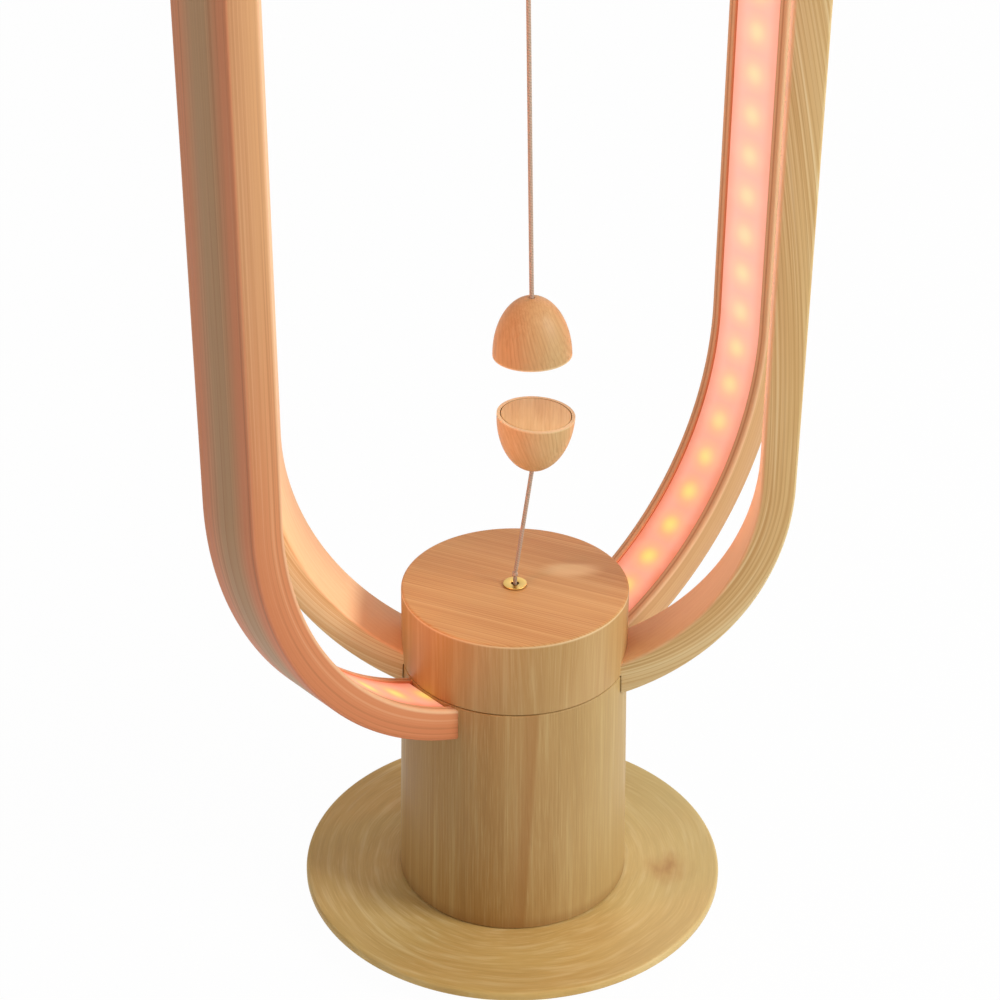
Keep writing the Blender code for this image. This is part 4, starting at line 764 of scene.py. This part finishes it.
def opal_light():
    """An opal cover lit from behind. chip holds the distance from the tape's foot end, and sideways."""
    material, tree, shader = finish("opal_cover")
    run, sideways = parts_of(tree, stored(tree, "chip"))[:2]
    lap = sums(tree, "SUBTRACT", sums(tree, "FRACT", sums(tree, "DIVIDE", run, CHIP_PITCH)), 0.5)
    near = sums(tree, "MULTIPLY", lap, CHIP_PITCH)
    away = distance(tree, near, sideways)
    halo = spread(tree, away, 0.0, 0.0092, 1.0, 0.0)
    heart = spread(tree, away, 0.0, 0.0050, 1.0, 0.0)
    foot = spread(tree, run, 0.02, 0.15, 1.0, 0.0)
    edges = spread(tree, sums(tree, "ABSOLUTE", sideways), 0.0045, 0.0098)
    glow = blended(tree, edges, tinted(tree, foot, tint("F9BCA8"), "F8A88C"),
                   tinted(tree, foot, tint("F3AA90"), "EC8460"))
    glow = blended(tree, sums(tree, "MULTIPLY", halo, 0.75), glow,
                   tinted(tree, foot, tint("FFD8A6"), "FFC46A"))
    heart = sums(tree, "MULTIPLY", heart, spread(tree, foot, 0.0, 1.0, 0.60, 0.95))
    glow = blended(tree, heart, glow, tinted(tree, foot, tint("FFEBB4"), "FFE474"))
    mottle = cloud(tree, object_place(tree), (160.0, 160.0, 160.0), 2.0)
    glow = tinted(tree, spread(tree, mottle, 0.3, 0.7, 0.0, 0.12), glow, "F8C8BC")
    feed(tree, shader.inputs["Base Color"], tinted(tree, 0.65, glow, "6E5A54"))
    feed(tree, shader.inputs["Emission Color"], glow)
    shader.inputs["Emission Strength"].default_value = 0.74
    shader.inputs["Roughness"].default_value = 0.42
    return material


def bend_split(run, radius, lower_centre):
    """What of a run lies on the top's half circle, on the straight, and on the arc in to the foot."""
    quarter, straight = radius * math.pi / 2, TOP_CENTRE - lower_centre
    return (np.minimum(run, quarter), np.clip(run - quarter, 0.0, straight),
            np.maximum(run - quarter - straight, 0.0))


OPAL = opal_light()
TAPE = dull_stuff("white_tape", "E6E2D8", "F2EFE8", 0.5, 900.0, 0.10)
coated(TAPE, "led_strip_1", "led_strip_2")
cover_top_run = COVER_RADIUS * math.asin(COVER_TOP / COVER_RADIUS)
cover_foot_run = half_run(COVER_RADIUS, LIT_LOWER_CENTRE, COVER_FOOT)
tape_length = half_run(TAPE_RADIUS, LIT_LOWER_CENTRE, TAPE_FOOT)
for label, way, node in (("right", 1, "diffuser_1"), ("left", -1, "diffuser_2")):
    section = bar_outline("cover_section", COVER_WIDTH / 2, COVER_THICKNESS / 2, COVER_ROUNDING)
    mesh = bent_bar(f"cover_{label}", section, COVER_RADIUS, LIT_LOWER_CENTRE, way * cover_top_run,
                    way * cover_foot_run, LIT_ANGLE, OPAL, 320)
    mark_grain(tidied(mesh), COVER_RADIUS, LIT_LOWER_CENTRE, LIT_ANGLE)
    # The same run, counted on the tape's own bend from the tape's foot end
    grain = np.empty(len(mesh.vertices) * 3, np.float32)
    mesh.attributes["grain"].data.foreach_get("vector", grain)
    out, sideways, run = grain.reshape(-1, 3).T
    top, down, low = bend_split(np.abs(run), COVER_RADIUS, LIT_LOWER_CENTRE)
    tape_run = top / COVER_RADIUS * TAPE_RADIUS + down + low / COVER_RADIUS * TAPE_RADIUS
    store(mesh, "chip", np.stack([tape_length - tape_run, sideways, np.zeros(len(run))], 1))
    cover = piece(f"cover_{label}", mesh, OPAL)
    fitted(cover, "stand", "diffuser", node)

# Top pivot: a brass block in the crown of the channel, with a collar and a pin turned on it, held
# by one socket screw from above. The plain hoop's bush turns on the pin.
BLOCK_LENGTH = 0.0160
BLOCK_WIDTH = 0.0194
BLOCK_LOW = 0.4684
COLLAR_RADIUS = 0.0060
COLLAR_LOW = 0.4577
PIN_RADIUS = 0.0030
PIN_ROOT = BLOCK_LOW + 0.001
BLOCK_BEVEL = 0.0005
CROWN_SCREW = {"head": 0.0030, "shank": 0.0015, "rise": 0.0020, "length": 0.0180, "socket": 0.0015}

block_low, block_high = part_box("top_pivot_block")
solid = bmesh.new()
bmesh.ops.create_cube(solid, size=1.0)
bmesh.ops.scale(solid, vec=(BLOCK_LENGTH, BLOCK_WIDTH, block_high.z - BLOCK_LOW), verts=solid.verts)
bmesh.ops.translate(solid, vec=(0.0, 0.0, (block_high.z + BLOCK_LOW) / 2), verts=solid.verts)
bmesh.ops.bevel(solid, geom=solid.edges[:], offset=BLOCK_BEVEL, segments=3, affect="EDGES")
bmesh.ops.rotate(solid, matrix=Matrix.Rotation(LIT_ANGLE, 3, "Z"), verts=solid.verts)
mesh = bpy.data.meshes.new("pivot_block")
solid.to_mesh(mesh)
solid.free()
block = piece("pivot_block", tidied(mesh), BRASS)
fitted(block, "stand", "brass", "top_pivot_block")
profile = eased([
    (0.0, PIN_ROOT, 0.0), (COLLAR_RADIUS, PIN_ROOT, 0.0), (COLLAR_RADIUS, COLLAR_LOW, 0.0004),
    (PIN_RADIUS, COLLAR_LOW, 0.0), (PIN_RADIUS, block_low.z, 0.0004), (0.0, block_low.z, 0.0)])
post = piece("pivot_pin", turned("pivot_pin", profile, 64), BRASS)
fitted(post, "stand", "brass")
screw_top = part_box("top_screw")[1].z
seat = Matrix.Translation((0.0, 0.0, screw_top - CROWN_SCREW["rise"]))
top_screw = piece("crown_screw", socket_screw("crown_screw", **CROWN_SCREW, place=seat), ZINC)
fitted(top_screw, "stand", "steel", "top_screw")

# Cap: the turned turret above the seam, which turns with the plain hoop. Its side shows upright
# grain. Its top is faced with straight grain, and the edge between them is rounded.
CAP_LOW = 0.1006
CAP_TOP = 0.1287
CAP_POCKET_RADIUS = 0.0138
CAP_POCKET_TOP = 0.1106
CAP_HOLE = 0.0035
GUIDE_HOLE = 0.0033
GUIDE_FLOOR = 0.1184
CAP_GRAIN_ANGLE = math.radians(23.6)
PALE_PLACE = (0.0200, 0.0110, 0.1287)
FACE_BAND = 0.0006


def cap_face_place(tree):
    """Straight grain that runs across the cap's top at its own angle."""
    made = tree.nodes.new("ShaderNodeMapping")
    feed(tree, made.inputs["Vector"], object_place(tree))
    made.inputs["Rotation"].default_value = (0.0, 0.0, CAP_GRAIN_ANGLE)
    x, y, z = parts_of(tree, made.outputs[0])
    return placed(tree, y, z, x)


def edge_highlight_paint(tree, colour):
    """The rounded edge under the face carries a painted highlight, paler."""
    height = parts_of(tree, object_place(tree))[2]
    return tinted(tree, spread(tree, height, CAP_TOP - 0.0013, CAP_TOP - 0.0005, 0.0, 0.65), colour, "EBD3A4")


def pale_patch(tree, colour):
    """A pale fleck beside a darker one, drawn out along the grain."""
    local = along(tree, "SUBTRACT", object_place(tree), PALE_PLACE)
    away = along(tree, "LENGTH", along(tree, "MULTIPLY", local, (0.75, 1.5, 1.0)))
    colour = tinted(tree, spread(tree, away, 0.003, 0.010, 0.75, 0.0), colour, "EED6A0")
    beside = along(tree, "SUBTRACT", local, (0.0010, 0.0048, 0.0))
    beside = along(tree, "LENGTH", along(tree, "MULTIPLY", beside, (0.45, 2.2, 1.0)))
    return tinted(tree, spread(tree, beside, 0.0008, 0.0050, 0.40, 0.0), colour, "C08A50")


CAP_SIDE_WOOD = hardwood("cap_side_maple", object_place, (2200.0, 2200.0, 30.0), (420.0, 420.0, 16.0),
                         (42.0, 42.0, 11.0), ("AA7E48", "C09C66", "CEB280", "B89058"), (900.0, 0.13),
                         drift=0.006, contrast=0.5, marks=edge_highlight_paint)
CAP_FACE_WOOD = hardwood("cap_face_maple", cap_face_place, (2300.0, 2300.0, 12.0), (640.0, 640.0, 8.0),
                         (64.0, 64.0, 14.0), ("B27C44", "CBA166", "DCBC84", "C69A60"), (860.0, 0.60),
                         drift=0.001, contrast=0.55, marks=pale_patch)
cap_mesh = turned("cap", eased([
    (TOP_RADIUS, CAP_TOP, 0.0010), (TOP_RADIUS, CAP_LOW, 0.0005), (CAP_POCKET_RADIUS, CAP_LOW, 0.0),
    (CAP_POCKET_RADIUS, CAP_POCKET_TOP, 0.0), (CAP_HOLE, CAP_POCKET_TOP, 0.0), (CAP_HOLE, GUIDE_FLOOR, 0.0),
    (GUIDE_HOLE, GUIDE_FLOOR, 0.0), (GUIDE_HOLE, CAP_TOP, 0.0)]), 200)
cap = piece("cap", cap_mesh, CAP_SIDE_WOOD, CAP_FACE_WOOD)
for polygon in cap_mesh.polygons:
    on_top = polygon.center.z > CAP_TOP - FACE_BAND and polygon.normal.z > 0.5
    polygon.material_index = 1 if on_top else 0
fitted(cap, "swing", "wood", "turret")

# Cord guide: a small brass eyelet pressed into the middle of the cap, its mouth rounded so that
# the cord doesn't chafe.
EYELET_FLANGE = 0.0042
EYELET_BARREL = 0.0030
EYELET_BORE = 0.00135
EYELET_TOP = CAP_TOP + 0.0008
EYELET_SEAT = CAP_TOP + 0.0003
EYELET_END = CAP_TOP - 0.0100

profile = eased([
    (EYELET_FLANGE, EYELET_TOP, 0.00025), (EYELET_FLANGE, EYELET_SEAT, 0.0),
    (EYELET_BARREL, EYELET_SEAT, 0.0), (EYELET_BARREL, EYELET_END, 0.0), (EYELET_BORE, EYELET_END, 0.0),
    (EYELET_BORE, EYELET_TOP, 0.0004)])
guide = piece("eyelet", turned("eyelet", profile, 72), BRASS)
fitted(guide, "swing", "brass", "cord_guide")

# Plain hoop: a bent bar without a channel, inside the lit one. Its ends are tongued into the cap,
# and below the seam they are coped to the column so that they turn past it.
PLAIN_WIDTH = 0.0233
PLAIN_MIDDLE = 0.0886
PLAIN_LOWER_CENTRE = 0.178806
PLAIN_ANGLE = math.radians(-4.0)
TONGUE_START = 0.0310
COPE_GAP = 0.0003
COPE_LOW = 0.060
COPE_LOW_GAP = 0.0016
CROWN_CUT_TOP = 0.4600
CROWN_HOLE = 0.0053
CROWN_SHELF = 0.4496
HOLLOW_RADIUS = 0.00265
HOLLOW_FLOOR = 0.4464
THROAT_RADIUS = 0.0011
THROAT_FLARE = 0.4440
MOUTH_RADIUS = 0.0020
MOUTH_END = 0.4410


def sawn_place(tree):
    """The bar was sawn across the grain near its crown, so its lines run out at the edges there."""
    out, sideways, run = parts_of(tree, bend_place(tree))
    reach = sums(tree, "ABSOLUTE", run)
    bow = sums(tree, "MULTIPLY", reach, sums(tree, "SUBTRACT", 0.40, sums(tree, "MULTIPLY", reach, 0.62)))
    level = sums(tree, "ADD", sums(tree, "MULTIPLY", out, 0.85), sums(tree, "MULTIPLY", sideways, 0.50))
    return placed(tree, sums(tree, "SUBTRACT", level, bow), sideways, run)


def inner_glow_paint(tree, colour):
    """Painted light: the bar's inner face is tinted warm for the light it takes from the covers."""
    inner = spread(tree, parts_of(tree, bend_place(tree))[0], -0.0056, -0.0044, 0.75, 0.0)
    return tinted(tree, inner, colour, "F6C89A")


PLAIN_WOOD = hardwood("plain_hoop_ash", sawn_place, (2300.0, 2300.0, 9.0), (820.0, 820.0, 5.0),
                      (60.0, 60.0, 5.0), ("BE9050", "E4C892", "F2E2B4", "DCBC82"), (820.0, 0.50),
                      drift=0.0016, contrast=0.7, marks=inner_glow_paint)
section = bar_outline("bar_section", PLAIN_WIDTH / 2, face, HOOP_ROUNDING)
plain_run = half_run(PLAIN_MIDDLE, PLAIN_LOWER_CENTRE, TONGUE_START)
mesh = bent_bar("plain_hoop_whole", section, PLAIN_MIDDLE, PLAIN_LOWER_CENTRE, -plain_run, plain_run,
                PLAIN_ANGLE, PLAIN_WOOD, 380)
whole = piece("plain_hoop_whole", tidied(mesh), PLAIN_WOOD)
cope = piece("cope", turned("cope", [
    (0.0, CAP_LOW), (TOP_RADIUS + COPE_GAP, CAP_LOW), (TOP_RADIUS + COPE_LOW_GAP, COPE_LOW),
    (0.0, COPE_LOW)], 200))
throat = piece("throat", turned("throat", [
    (0.0, CROWN_CUT_TOP), (CROWN_HOLE, CROWN_CUT_TOP), (CROWN_HOLE, CROWN_SHELF),
    (HOLLOW_RADIUS, CROWN_SHELF), (HOLLOW_RADIUS, HOLLOW_FLOOR), (THROAT_RADIUS, HOLLOW_FLOOR),
    (MOUTH_RADIUS, THROAT_FLARE), (MOUTH_RADIUS, MOUTH_END), (0.0, MOUTH_END)], 48))
mesh = cut_away(whole, cope, throat)
mark_grain(mesh, PLAIN_MIDDLE, PLAIN_LOWER_CENTRE, PLAIN_ANGLE)
mesh.name = "plain_hoop"
plain_hoop = piece("plain_hoop", mesh, PLAIN_WOOD)
fitted(plain_hoop, "swing", "wood", "swing_hoop")

# Top bush: a flanged bush of turned brass, pressed into the crown of the plain hoop from above. It
# turns on the pin of the top pivot.
BUSH_FLANGE = 0.0075
BUSH_FLANGE_THICKNESS = 0.0015
BUSH_BARREL = 0.0050
BUSH_BORE = 0.0033

bush_low, bush_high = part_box("top_bush")
shoulder = bush_high.z - BUSH_FLANGE_THICKNESS
profile = eased([
    (BUSH_FLANGE, bush_high.z, 0.0003), (BUSH_FLANGE, shoulder, 0.0), (BUSH_BARREL, shoulder, 0.0),
    (BUSH_BARREL, bush_low.z, 0.0), (BUSH_BORE, bush_low.z, 0.0), (BUSH_BORE, bush_high.z, 0.0)])
bush = piece("crown_bush", turned("crown_bush", profile, 72), BRASS)
fitted(bush, "swing", "brass", "top_bush")

# Upper cord: waxed cotton, two plies laid round each other, 1.5 mm thick. It is knotted in the
# hollow in the hoop's crown, hangs through the throat and is glued into the half egg below.
CORD_RADIUS = 0.00075
CORD_SIDES = 14
UPPER_HINGE = HOLLOW_FLOOR
UPPER_LEAN = math.radians(1.25)
UPPER_KNOT = 0.0013
EGG_RADIUS = 0.0133
EGG_HEIGHT = 0.0208
EGG_TIP = 0.0018
EGG_RIM = 0.0011
INLAY_THICKNESS = 0.0015
EGG_GAP = 0.0003
CORD_DEPTH = 0.0151
UPPER_DROP = 0.2281
upper_place = Matrix.Translation((0.0, 0.0, UPPER_HINGE)) @ Matrix.Rotation(-UPPER_LEAN, 4, "Y")


def waxed_cotton():
    """Two-ply cord: the plies wind round it, and lay gives the way round and along."""
    material, tree, shader = finish("waxed_cotton")
    c, s, run = parts_of(tree, stored(tree, "lay"))
    turn = sums(tree, "ADD", sums(tree, "ARCTAN2", s, c), sums(tree, "MULTIPLY", run, 3400.0))
    ply = sums(tree, "ABSOLUTE", sums(tree, "SINE", turn))
    fuzz = cloud(tree, object_place(tree), (2600.0, 2600.0, 1100.0), 3.0, 0.6)
    share = sums(tree, "ADD", sums(tree, "MULTIPLY", ply, 0.7), sums(tree, "MULTIPLY", fuzz, 0.3))
    twist = spread(tree, share, 0.1, 0.9)
    feed(tree, shader.inputs["Base Color"], tinted(tree, twist, tint("A2917E"), "BCAA98"))
    shader.inputs["Roughness"].default_value = 0.74
    shader.inputs["Sheen Weight"].default_value = 0.15
    raised(tree, shader, share, 0.3, 0.0002)
    return material


COTTON = waxed_cotton()


def tube_walls(count, sides):
    """Faces that join so many rings of points, each to the next."""
    walls = []
    for i in range(count - 1):
        for k in range(sides):
            a, b = i * sides + k, i * sides + (k + 1) % sides
            walls.append((a, b, b + sides, a + sides))
    return walls


def cord_tube(name, route):
    """A closed tube along a route, with its lay stored point by point."""
    verts, lay = [], []
    run = 0.0
    for i, point in enumerate(route):
        ahead = (route[min(i + 1, len(route) - 1)] - route[max(i - 1, 0)]).normalized()
        first = ahead.cross(Vector((0.0, 1.0, 0.0))).normalized()
        second = ahead.cross(first)
        run += (point - route[i - 1]).length if i else 0.0
        for k in range(CORD_SIDES):
            c, s = math.cos(math.tau * k / CORD_SIDES), math.sin(math.tau * k / CORD_SIDES)
            verts.append(point + (first * c + second * s) * CORD_RADIUS)
            lay.append((c, s, run))
    ends = [tuple(range(CORD_SIDES)), tuple(range(len(verts) - CORD_SIDES, len(verts)))]
    mesh = bpy.data.meshes.new(name)
    mesh.from_pydata(verts, [], tube_walls(len(route), CORD_SIDES) + ends)
    store(mesh, "lay", lay)
    return tidied(mesh, math.radians(60))


def knot(name, radius, place):
    """An overhand knot pulled tight: three turns of cord closed into a ball."""
    verts = []
    rings, sides = 18, 28
    for i in range(rings + 1):
        polar = math.pi * i / rings
        for k in range(sides):
            turn = math.tau * k / sides
            bulge = radius * (0.88 + 0.12 * math.sin(3 * polar + 2 * turn) * math.sin(polar))
            verts.append((bulge * math.sin(polar) * math.cos(turn), bulge * math.sin(polar) * math.sin(turn),
                          bulge * math.cos(polar)))
    mesh = bpy.data.meshes.new(name)
    mesh.from_pydata(verts, [], [(a, d, c, b) for a, b, c, d in tube_walls(rings + 1, sides)])
    mesh.transform(place)
    mesh = tidied(mesh, math.radians(60))
    x, y, z = (np.array([v.co for v in mesh.vertices]) - np.array(place.translation)).T
    store(mesh, "lay", np.stack([x / radius, z / radius, y], 1))
    return piece(name, mesh, COTTON)


top_knot = knot("cord_end_knot", UPPER_KNOT,
                upper_place @ Matrix.Translation((0.0, 0.0, UPPER_KNOT + EGG_GAP)))
fitted(top_knot, "upper_swivel", "cord", "upper_knot")
upper_end = UPPER_DROP - EGG_HEIGHT + CORD_DEPTH
upper_route = [upper_place @ Vector((0.0, 0.0, -upper_end * k / 24)) for k in range(25)]
hanging = piece("hanging_cord", cord_tube("hanging_cord", upper_route), COTTON)
fitted(hanging, "upper_pendulum", "cord", "upper_cord")

# Upper half egg: turned from one blank with the grain upright, hollowed for a magnet, and closed
# with an inlaid disc in its flat face, which looks down. The cord goes in at its tip.
INLAY_SEAT = 0.0018
MAGNET_ROOM_RADIUS = 0.0093
MAGNET_ROOM_TOP = 0.0054
EGG_TONES = ("A87E4A", "C6A270", "D6BA8A", "C49E6C")
FACE_TONES = ("BC9058", "DEBE88", "ECD4A0", "D8B27C")


def egg_lie(centre, upright):
    """The grain follows the dome: its lines draw together towards the tip."""
    def lie(tree):
        local = along(tree, "SUBTRACT", object_place(tree), centre)
        x, y, z = parts_of(tree, local)
        rise = sums(tree, "MULTIPLY", z, upright / EGG_HEIGHT)
        pinch = sums(tree, "SUBTRACT", 1.12, sums(tree, "MULTIPLY", rise, 0.45))
        slant = sums(tree, "ADD", x, sums(tree, "MULTIPLY", z, 0.22))
        return placed(tree, sums(tree, "DIVIDE", slant, pinch), sums(tree, "DIVIDE", y, pinch), z)
    return lie


def egg_shell_profile():
    """The dome, down to its rim, and up inside it to the cord's hole."""
    quarter = math.pi / 2
    last = math.asin(EGG_TIP / EGG_RADIUS)
    dome = [Vector((EGG_RADIUS * math.sin(last + (quarter - last) * k / 30),
                    EGG_HEIGHT * math.cos(last + (quarter - last) * k / 30))) for k in range(31)]
    cord_way = CORD_RADIUS + EGG_GAP
    recess = EGG_RADIUS - EGG_RIM
    mouth = [(recess, 0.0), (recess, INLAY_SEAT), (MAGNET_ROOM_RADIUS, INLAY_SEAT),
             (MAGNET_ROOM_RADIUS, MAGNET_ROOM_TOP), (cord_way, MAGNET_ROOM_TOP)]
    return [Vector((cord_way, dome[0].y)), *dome, *[Vector(p) for p in mouth]]


def egg(name, place, body, nodes, upright, tones):
    """Shell and inlaid face. place has the flat face at its origin and the dome up its Z."""
    centre = tuple(place.translation)
    upwards = tuple(place.to_3x3() @ Vector((0.0, 0.0, 1.0)))

    def cut_rim(tree, colour):
        """The rim by the flat face was cut last and is paler."""
        height = along(tree, "DOT_PRODUCT", along(tree, "SUBTRACT", object_place(tree), centre), upwards)
        return tinted(tree, spread(tree, height, 0.0001, 0.0008, 0.60, 0.0), colour, "F2DDB2")

    wood = hardwood(name + "_maple", egg_lie(centre, upright), (2200.0, 2200.0, 90.0), (800.0, 800.0, 40.0),
                    (90.0, 90.0, 30.0), tones, (760.0, 0.42), drift=0.0006, contrast=0.4, marks=cut_rim)
    face_wood = hardwood(name + "_face_maple", egg_lie(centre, 0.0), (1800.0, 120.0, 1800.0),
                         (600.0, 50.0, 600.0), (120.0, 40.0, 120.0), FACE_TONES, (900.0, 0.25), drift=0.0006,
                         contrast=0.4)
    shell = piece(name, turned(name, egg_shell_profile(), 112, place), wood)
    fitted(shell, body, "wood", nodes[0])
    inlay = EGG_RADIUS - EGG_RIM - EGG_GAP
    disc_profile = eased([(0.0, INLAY_THICKNESS, 0.0), (inlay, INLAY_THICKNESS, 0.0), (inlay, 0.0, 0.00022),
                          (0.0, 0.0, 0.0)])
    face_disc = piece(name + "_face", turned(name + "_face", disc_profile, 112, place), face_wood)
    fitted(face_disc, body, "wood", nodes[1])
    coated(NICKEL, nodes[2])


upper_face = upper_place @ Matrix.Translation((0.0, 0.0, -UPPER_DROP))
egg("upper_egg", upper_face, "upper_pendulum",
    ("upper_bob_shell", "upper_bob_inlay", "upper_bob_magnet"), 1.0, EGG_TONES)

# Lower cord: the same cotton, pulled straight by the magnets between its knot above the cap's
# eyelet and the tip of the lower half egg. It is built straight; it would slacken under the egg if the
# magnets let go.
LOWER_KNOT = 0.0013
LOWER_HINGE = 0.1331
TIP_HEIGHT = 0.1752
EGG_SHIFT = 0.0054
EGG_LEAN = math.radians(3.0)
tip = Vector((EGG_SHIFT, 0.0, TIP_HEIGHT))
hinge = Vector((0.0, 0.0, LOWER_HINGE))
axis = Vector((math.sin(EGG_LEAN), 0.0, math.cos(EGG_LEAN)))
low_knot = knot("eyelet_knot", LOWER_KNOT, Matrix.Translation(hinge))
fitted(low_knot, "lower_swivel", "cord", "lower_knot")
coated(COTTON, "pull_cord")
start = hinge + (tip - hinge).normalized() * (LOWER_KNOT + EGG_GAP)
inside = tip - axis * CORD_RADIUS
end = tip + axis * CORD_DEPTH
route = [start.lerp(inside, k / 12) for k in range(12)] + [inside.lerp(end, k / 8) for k in range(9)]
tether = piece("tether_cord", cord_tube("tether_cord", route), COTTON)
fitted(tether, "lower_tether", "cord", "lower_cord")
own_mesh(tether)

# Lower half egg: turned, hollowed and inlaid like the upper one, of a warmer piece of wood, with
# its flat face up. It leans a little, as it floats on the pull of the magnets.
turned_over = Euler((math.pi, EGG_LEAN, 0.0)).to_matrix().to_4x4()
lower_face = Matrix.Translation(tip + axis * EGG_HEIGHT) @ turned_over
egg("lower_egg", lower_face, "lower_bob", ("lower_bob_shell", "lower_bob_inlay", "lower_bob_magnet"), -1.0,
    ("B08450", "D2AE7A", "DEC292", "CEA874"))

# The room: a pale floor, a white surround, soft studio lamps, and small warm lamps that stand
# for the light that the covers throw on the wood round them.
FLOOR_HALF = 6.0


def white_for_the_camera(tree, shader_output, share):
    """Mixes plain white in where the camera, or a mirror, looks straight at the surface."""
    path = tree.nodes.new("ShaderNodeLightPath")
    seen = sums(tree, "MAXIMUM", path.outputs["Is Camera Ray"], path.outputs["Is Glossy Ray"])
    seen = sums(tree, "MAXIMUM", seen, path.outputs["Is Transmission Ray"])
    on_floor = tree.nodes.get("Material Output")
    white = tree.nodes.new("ShaderNodeEmission" if on_floor else "ShaderNodeBackground")
    white.inputs["Color"].default_value = (1.0, 1.0, 1.0, 1.0)
    mix = tree.nodes.new("ShaderNodeMixShader")
    tree.links.new(sums(tree, "MULTIPLY", seen, share), mix.inputs[0])
    tree.links.new(shader_output, mix.inputs[1])
    tree.links.new(white.outputs[0], mix.inputs[2])
    return mix.outputs[0]


FLOOR, floor_tree, floor_shader = finish("pale_floor")
floor_shader.inputs["Base Color"].default_value = (0.86, 0.86, 0.85, 1.0)
floor_shader.inputs["Roughness"].default_value = 0.9
floor_out = floor_tree.nodes["Material Output"]
feed(floor_tree, floor_out.inputs["Surface"], white_for_the_camera(floor_tree, floor_shader.outputs[0], 0.98))
floor_mesh = bpy.data.meshes.new("floor")
corners = [(x * FLOOR_HALF, y * FLOOR_HALF, 0.0) for x, y in ((-1, -1), (1, -1), (1, 1), (-1, 1))]
floor_mesh.from_pydata(corners, [], [(0, 1, 2, 3)])
piece("floor", floor_mesh, FLOOR)

world = bpy.data.worlds.new("surround")
bpy.context.scene.world = world
world.use_nodes = True
sky = world.node_tree.nodes["Background"]
sky.inputs["Color"].default_value = (1.0, 0.985, 0.96, 1.0)
sky.inputs["Strength"].default_value = 0.33
world_out = world.node_tree.nodes["World Output"]
feed(world.node_tree, world_out.inputs["Surface"], white_for_the_camera(world.node_tree, sky.outputs[0], 1.0))


def lamp(name, place, aim, size, level, colour):
    """A square lamp that alone would light a white surface at its aim to that level."""
    data = bpy.data.lights.new(name, "AREA")
    data.size = size
    data.color = colour
    away = Vector(place) - Vector(aim)
    data.energy = level * math.pi ** 2 * away.length ** 2
    turn = away.to_track_quat("Z", "Y").to_matrix().to_4x4()
    set_down(name, data).matrix_world = Matrix.Translation(place) @ turn


lamp("key", (1.55, -0.58, 1.10), (0.0, 0.0, 0.15), 0.7, 0.70, (1.0, 0.99, 0.95))
lamp("fill", (-1.5, -1.2, 0.8), (0.0, 0.0, 0.2), 1.4, 0.10, (1.0, 0.86, 0.72))
lamp("rim", (0.6, 1.6, 1.2), (0.0, 0.0, 0.25), 1.2, 0.10, (1.0, 0.98, 0.95))

GLOW_RADIUS = 0.1046
GLOW_START = 0.03
GLOW_FOOT = 0.076
GLOW_WIDTH = 0.016
GLOW_COLOUR = (1.0, 0.29, 0.15)
GLOW_POWER = 0.016
GLOW_LAMPS = 9

lit_length = half_run(GLOW_RADIUS, LIT_LOWER_CENTRE, GLOW_FOOT) - GLOW_START
for way, level in ((1, 0.6), (-1, 0.9)):
    for k in range(GLOW_LAMPS):
        run = GLOW_START + lit_length * (k + 0.5) / GLOW_LAMPS
        top, down, low = bend_split(run, GLOW_RADIUS, LIT_LOWER_CENTRE)
        top, low = top / GLOW_RADIUS, low / GLOW_RADIUS
        across = way * GLOW_RADIUS * math.sin(top) * math.cos(low)
        up = TOP_CENTRE + GLOW_RADIUS * math.cos(top) - down - GLOW_RADIUS * math.sin(low)
        inward = Vector((-way * math.sin(top) * math.cos(low), 0.0, -math.cos(top) + math.sin(low)))
        inward.normalize()
        data = bpy.data.lights.new(f"glow_{way}_{k}", "AREA")
        data.shape = "RECTANGLE"
        data.size = GLOW_WIDTH
        data.size_y = lit_length / GLOW_LAMPS * 0.9
        data.color = GLOW_COLOUR
        data.energy = GLOW_POWER * level
        sideways = Vector((0.0, 1.0, 0.0))
        turn = Matrix((sideways, sideways.cross(inward), -inward)).transposed().to_4x4()
        made = set_down(data.name, data)
        made.matrix_world = Matrix.Rotation(LIT_ANGLE, 4, "Z") @ Matrix.Translation((across, 0.0, up)) @ turn
        made.visible_camera = False

# Camera: it stands where the photograph was taken from, and its lens has the same reach, so that
# picture and photograph lie on each other.
CAMERA_PLACE = (0.0060396, -0.7107497, 0.5640607)
CAMERA_YAW, CAMERA_PITCH, CAMERA_ROLL = -0.0161776, 0.5140681, 0.0061072
FOCAL_PIXELS = 2376.958
IMAGE_PIXELS = 1000.0

data = bpy.data.cameras.new("camera")
data.sensor_width = 36.0
data.lens = FOCAL_PIXELS / IMAGE_PIXELS * data.sensor_width
data.clip_start = 0.01
camera = set_down("camera", data)
look = Vector((math.sin(CAMERA_YAW) * math.cos(CAMERA_PITCH), math.cos(CAMERA_YAW) * math.cos(CAMERA_PITCH),
               -math.sin(CAMERA_PITCH)))
right = Vector((math.cos(CAMERA_YAW), -math.sin(CAMERA_YAW), 0.0))
above = right.cross(look)
right, above = (right * math.cos(CAMERA_ROLL) + above * math.sin(CAMERA_ROLL),
                above * math.cos(CAMERA_ROLL) - right * math.sin(CAMERA_ROLL))
camera.matrix_world = Matrix.Translation(CAMERA_PLACE) @ Matrix((right, above, -look)).transposed().to_4x4()
bpy.context.scene.camera = camera
bpy.context.scene.view_settings.view_transform = "Standard"
